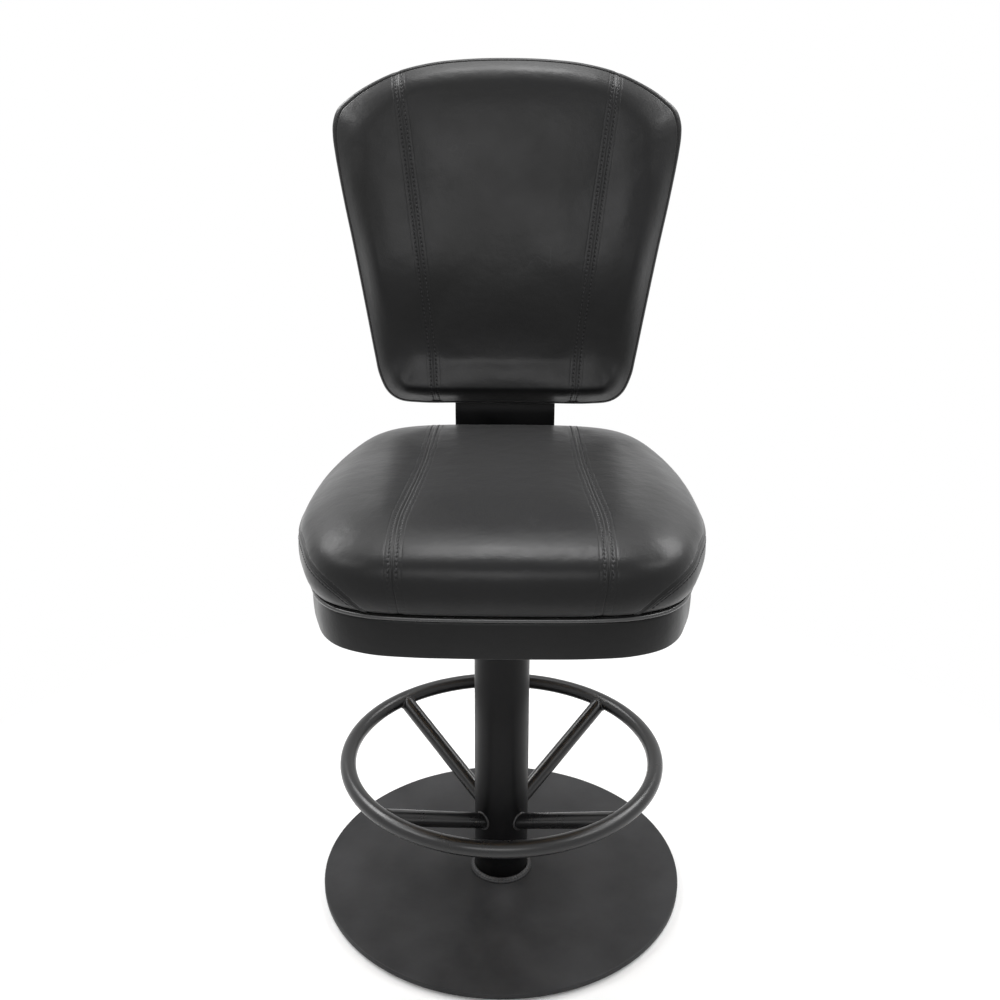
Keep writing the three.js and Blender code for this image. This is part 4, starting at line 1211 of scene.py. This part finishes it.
# %% Close the seat cushion
BOARD_TOP = 539.3
seat_edge = finer_round(edge_share(seat_share, seat_points.shape[0]))
floor_section = ((17, CUSHION_BOTTOM + 0.5), (19.5, CUSHION_BOTTOM + 2), (19.5, BOARD_TOP + 0.5),
                 (30, BOARD_TOP + 0.5), (120, BOARD_TOP + 0.5))
seat_floor = [seat_ring(seat_outline(seat_edge), np.array(inset), np.array(level))
              for inset, level in floor_section]
seat_cushion = close_sheet("seat_cushion", seat_bedded, seat_floor)
seat_pieces.append(seat_cushion)
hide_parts("seat_cover", "seat_foam")
print("seat cushion:", len(seat_cushion.data.polygons), "faces")

# %% [markdown]
# ### Piping and skirt
# Under the cushion runs a cord covered in the same leatherette, and below it a board band wrapped
# in leatherette that hides the boards and the swivel. The piping is a round cord that follows the
# outline, with the flat tongue behind it by which it is stapled to the board. The skirt is a
# rounded section carried round the outline, a little fuller in the middle where its padding is, and
# notched at the rear for the back's bracket.

# %% Piping and skirt
around = np.linspace(0, 1, 420, endpoint=False)
PIPING_INSET, PIPING_HEIGHT, PIPING_RADIUS = 11.2, 527.2, 2.9
centre = seat_ring(seat_outline(around), np.array(PIPING_INSET), np.array(PIPING_HEIGHT))
ahead = unit(np.roll(centre, -1, 0) - np.roll(centre, 1, 0))
out = np.cross(ahead, [0, 0, 1])
piping_section = [(PIPING_RADIUS * math.cos(a), PIPING_RADIUS * math.sin(a))
                  for a in np.radians(np.linspace(-160, 160, 17))]
piping_section += [(-4.2, 4.6), (-7.0, 4.6), (-7.0, 0.5)]
piping_rings = [centre + across * out + [0, 0, rise] for across, rise in piping_section]
piping = loft("seat_piping_cord", np.stack(piping_rings, 1), piping_leather, closed=True)
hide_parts("seat_piping")

SKIRT_TOP, SKIRT_BOTTOM, SKIRT_INSET, SKIRT_WALL = 524.0, 476.0, 14.5, 16.5
SHOULDER_ROUND, HEM_ROUND, SKIRT_FULLNESS, NOTCH_TOP = 6, 2, 0.9, 514.4


def skirt_section(top):
    """The skirt cut through: insets and heights, from the lower inner corner outwards."""
    low, high = SKIRT_BOTTOM + HEM_ROUND, top - SHOULDER_ROUND
    lower = quarter(HEM_ROUND, low, HEM_ROUND, 180, 6)[::-1]
    upper = quarter(SHOULDER_ROUND, high, SHOULDER_ROUND, 90, 6)[::-1]
    face = [(-SKIRT_FULLNESS * math.sin(math.pi * (z - low) / (high - low)), z)
            for z in np.linspace(low, high, 9)[1:-1]]
    middle = (top + SKIRT_BOTTOM) / 2
    inner = [(SKIRT_WALL / 2, top), (SKIRT_WALL, top), (SKIRT_WALL, middle),
             (SKIRT_WALL, SKIRT_BOTTOM), (SKIRT_WALL / 2, SKIRT_BOTTOM)]
    return lower + face + upper + inner


skirt_rings = []
for share in around:
    place = seat_outline(share)
    notched = abs(place[0]) < SLOT_HALF + 2 and place[1] > 0
    section = skirt_section(NOTCH_TOP if notched else SKIRT_TOP)
    skirt_rings.append([seat_ring(place, np.array(SKIRT_INSET + inset), np.array(level))
                        for inset, level in section])
skirt = loft("seat_skirt_band", skirt_rings, leather, closed=True)
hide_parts("seat_skirt")
seat_pieces += [piping, skirt]
for piece in seat_pieces + [seat_stitches]:
    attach(piece, "seat")

# %% [markdown]
# ## Seams of the back and its rear panel
# The front of the back has two long seams like the seat's. Behind, a panel covered in leatherette
# closes it and hides the bolts.

# %% Long seams of the back
BACK_ROW = 4.2
back_tree = surface_tree(back_points)


def back_seam_places(side):
    """Places on the lying back along one long seam, from its foot to its top."""
    rays = [Vector((side * through(back_seam, up), up, 200)) for up in np.arange(3.0, 483.0, 3.0)]
    hits = [back_tree.ray_cast(start, Vector((0, 0, -1)))[0] for start in rays]
    return [h for h in hits if h is not None and h.z > BACK_MIDDLE + SIDE_DEPTH - 0.5]


back_pieces, back_rows, back_bedded = sew_both(
    back_tree, "back_seam_band", back_seam_places, BACK_ROW,
    lambda path: np.ones(len(path)), 0.35, finer(back_points))
back_stitches = stitches("back_stitching", back_rows)
for piece in back_pieces + [back_stitches]:
    piece.data.transform(Matrix.Translation(Vector(BACK_FOOT * MM)) @ stand)

# %% Close the back cushion
back_size = back_bedded.shape[0]
back_edge = finer_round(edge_share(back_share, back_points.shape[0]))
back_floor = [back_floor_ring(back_edge, inset, level) for inset, level in
              ((7, REAR_EDGE), (19.5, REAR_EDGE + 1), (19.5, BOARD_FRONT), (40, BOARD_FRONT),
               (150, BOARD_FRONT))]
rim = back_floor_ring(back_edge, 3.0, REAR_EDGE)
in_slot = (np.abs(rim[:, 0]) < SLOT_HALF) & (rim[:, 1] < 100)
for ring in back_floor[:2]:
    ring[:, 2] += in_slot * (SLOT_TOP - REAR_EDGE)
flat_points = back_bedded.reshape(-1, 3).copy()
near_slot = (np.abs(flat_points[:, 0]) < SLOT_HALF) & (flat_points[:, 1] < 60)
flat_points[near_slot & (flat_points[:, 2] < SLOT_TOP), 2] = SLOT_TOP
back_cushion = close_sheet("back_cushion", stood(flat_points).reshape(back_size, back_size, 3),
                           [stood(ring) for ring in back_floor])
back_pieces.append(back_cushion)
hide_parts("back_cover", "back_foam")
print("back cushion:", len(back_cushion.data.polygons), "faces")

# %% Rear panel
PANEL_REAR, PANEL_FRONT, PANEL_INSET, PANEL_ROUND = -15.7, -11.75, 4, 1.6
shares = np.linspace(0, 1, 360, endpoint=False)
panel_section = [(150, PANEL_FRONT), (40, PANEL_FRONT), (PANEL_INSET + 3, PANEL_FRONT)]
panel_section += quarter(PANEL_INSET + 1, PANEL_FRONT - 1, 1, 90)
panel_section += quarter(PANEL_INSET + PANEL_ROUND, PANEL_REAR + PANEL_ROUND, PANEL_ROUND, 180)
panel_section += [(PANEL_INSET + 3, PANEL_REAR - 0.1), (PANEL_INSET + 14, PANEL_REAR - 0.6),
                  (40, PANEL_REAR - 1.2), (90, PANEL_REAR - 1.8), (150, PANEL_REAR - 2.2)]
rear_panel = loft("back_rear_cover", [stood(back_floor_ring(shares, inset, np.array(float(level))))
                                      for inset, level in panel_section], leather)
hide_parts("back_rear_panel")
back_pieces.append(rear_panel)
for piece in back_pieces + [back_stitches]:
    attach(piece, "seat")

# %% [markdown]
# ## The bracket that carries the back
# One flat bar, 150 mm wide and 8 mm thick, is bolted under the seat board, bends up behind the
# cushion and runs up inside the back. Its edges are rounded off before coating, because powder
# leaves a sharp edge bare. It is a rounded section carried along its bent centre line.

# %% Back bracket
BAR_WIDTH, BAR_THICKNESS, BAR_ROUND = 150, 8, 1.4
BEND, LEAN_BEND, RISE, UPPER = 18, 60, 107, 300
BAR_START, BAR_HEIGHT, UPRIGHT = 115, 520, 268


def bracket_line():
    """Places of the centre line in the YZ plane, each with the bar's direction."""
    places = [(BAR_START, BAR_HEIGHT, 0.0), (UPRIGHT - BEND - 1, BAR_HEIGHT, 0.0)]
    for t in np.linspace(0, math.pi / 2, 13):
        places.append((UPRIGHT - BEND + BEND * math.sin(t), BAR_HEIGHT + BEND * (1 - math.cos(t)),
                       t))
    top = BAR_HEIGHT + RISE
    places += [(UPRIGHT, BAR_HEIGHT + RISE / 2, math.pi / 2), (UPRIGHT, top - 1, math.pi / 2)]
    for t in np.linspace(0, BACK_LEAN, 6):
        places.append((UPRIGHT + LEAN_BEND * (1 - math.cos(t)), top + LEAN_BEND * math.sin(t),
                       math.pi / 2 - t))
    y, z, way = places[-1]
    return places + [(y + length * math.cos(way), z + length * math.sin(way), way)
                     for length in (1, UPPER / 2, UPPER)]


bar_section = []
for across, deep, start in ((1, 1, 0), (-1, 1, 90), (-1, -1, 180), (1, -1, 270)):
    bar_section += quarter(across * (BAR_WIDTH / 2 - BAR_ROUND),
                           deep * (BAR_THICKNESS / 2 - BAR_ROUND), BAR_ROUND, start)
rings = [[(x, y - t * math.sin(way), z + t * math.cos(way)) for x, t in bar_section]
         for y, z, way in bracket_line()]
bracket = loft("back_bracket_bar", rings, coated_steel)
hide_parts("back_bracket")
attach(bracket, "seat")
print("bracket top:", round(rings[-1][0][2], 1), "mm")

# %% [markdown]
# ## Floor, light and camera
# The photograph is lit by large soft lights all round, which leave the faces that look down dark.
# Seven rectangular area lamps do that: one above draws the bright roll along the seat's front edge,
# one behind it lights the top of the back, one at each side puts the light on the corners of the
# seat and the shoulders of the back, and three in front lift the back, the side panels and the foot
# ring. A weak even sky fills the rest. The floor is pale and keeps the shadow near the stool;
# farther off, the camera sees it fade to white.

# %% Floor and sky
WHITER_FROM, WHITE_AT = 0.2, 1.0


def seen(tree):
    """1 for a ray that is looked along, straight or by way of gloss or glass, else 0."""
    rays = add_node(tree, "ShaderNodeLightPath").outputs
    either = add_node(tree, "ShaderNodeMath", None,
                      {0: rays["Is Camera Ray"], 1: rays["Is Glossy Ray"]}, operation="MAXIMUM")
    return add_node(tree, "ShaderNodeMath", None,
                    {0: either.outputs[0], 1: rays["Is Transmission Ray"]},
                    operation="MAXIMUM").outputs[0]


def pale_floor():
    material, tree, place = new_material("studio_floor", Roughness=0.9,
                                         Base_Color=linear("#f7f7f7"))
    flat = add_node(tree, "ShaderNodeVectorMath", {1: (1, 1, 0)}, {0: place}, operation="MULTIPLY")
    away = add_node(tree, "ShaderNodeVectorMath", None, {0: flat.outputs[0]}, operation="LENGTH")
    far = spread(tree, away.outputs["Value"], 0, 1, WHITER_FROM, WHITE_AT)
    both = add_node(tree, "ShaderNodeMath", None, {0: far, 1: seen(tree)}, operation="MULTIPLY")
    white = add_node(tree, "ShaderNodeEmission", {"Color": (1, 1, 1, 1), "Strength": 1.0})
    shader = tree.nodes["Principled BSDF"]
    mix = add_node(tree, "ShaderNodeMixShader", None,
                   {0: both.outputs[0], 1: shader.outputs[0], 2: white.outputs[0]})
    tree.links.new(mix.outputs[0], tree.nodes["Material Output"].inputs["Surface"])
    return material


FLOOR = 12000
corners = [(-FLOOR, -FLOOR, 0), (FLOOR, -FLOOR, 0), (FLOOR, FLOOR, 0), (-FLOOR, FLOOR, 0)]
floor = make_piece("studio_floor", corners, [[0, 1, 2, 3]], pale_floor(), flat=True)

SKY_LIGHT = 0.12
world = bpy.data.worlds.new("studio")
bpy.context.scene.world = world
world.use_nodes = True
sky = world.node_tree
fill, backdrop = (
    add_node(sky, "ShaderNodeBackground", {"Color": (1, 1, 1, 1), "Strength": strength})
    for strength in (SKY_LIGHT, 1.0))
mix = add_node(sky, "ShaderNodeMixShader", None,
               {0: seen(sky), 1: fill.outputs[0], 2: backdrop.outputs[0]})
sky.links.new(mix.outputs[0], sky.nodes["World Output"].inputs["Surface"])


# %% Lamps
def soft_lamp(name, place, aim, width, depth, power):
    """A rectangular area lamp that looks at a point."""
    light = bpy.data.lights.new(name, "AREA")
    light.shape = "RECTANGLE"
    light.size, light.size_y, light.energy = width, depth, power
    lamp = bpy.data.objects.new(name, light)
    lamp.location = place
    lamp.rotation_euler = (Vector(aim) - Vector(place)).to_track_quat("-Z", "Y").to_euler()
    bpy.context.scene.collection.objects.link(lamp)
    return lamp


soft_lamp("softbox_above", (0.0, 0.4, 4.2), (0, 0.4, 0), 1.8, 1.0, 102)
soft_lamp("softbox_behind", (0.0, 1.6, 4.1), (0, 0, 0.6), 2.2, 1.4, 28)
soft_lamp("softbox_left", (-2.3, 1.3, 2.9), (0, 0, 0.7), 2.0, 0.9, 78)
soft_lamp("softbox_right", (2.3, 1.3, 2.9), (0, 0, 0.7), 2.0, 0.9, 66)
soft_lamp("softbox_front", (-0.2, -3.4, 2.3), (0, 0.3, 0.9), 2.4, 1.25, 36)
soft_lamp("softbox_front_left", (-2.6, -0.8, 2.9), (0, 0.2, 0.9), 1.6, 0.9, 34)
soft_lamp("softbox_front_right", (2.6, -0.8, 2.9), (0, 0.2, 0.9), 1.6, 0.9, 34)

# %% Camera
LENS_PIXELS, IMAGE_PIXELS, SENSOR = 1123.85, 1000, 36.0
camera_data = bpy.data.cameras.new("camera")
camera_data.sensor_width = SENSOR
camera_data.lens = LENS_PIXELS * SENSOR / IMAGE_PIXELS
camera_data.clip_end = 50
camera = bpy.data.objects.new("camera", camera_data)
yaw, pitch, roll = (math.radians(a) for a in (-0.71, 19.6, 0.23))
ahead = Vector((math.sin(yaw) * math.cos(pitch), math.cos(yaw) * math.cos(pitch), -math.sin(pitch)))
level = Vector((math.cos(yaw), -math.sin(yaw), 0))
above = level.cross(ahead)
right = math.cos(roll) * level + math.sin(roll) * above
up = math.cos(roll) * above - math.sin(roll) * level
camera.matrix_world = Matrix.Translation((0.0134, -1.382, 1.0736)) @ Matrix(
    (right, up, -ahead)).transposed().to_4x4()
bpy.context.scene.collection.objects.link(camera)
bpy.context.scene.camera = camera
bpy.context.scene.view_settings.view_transform = "Standard"
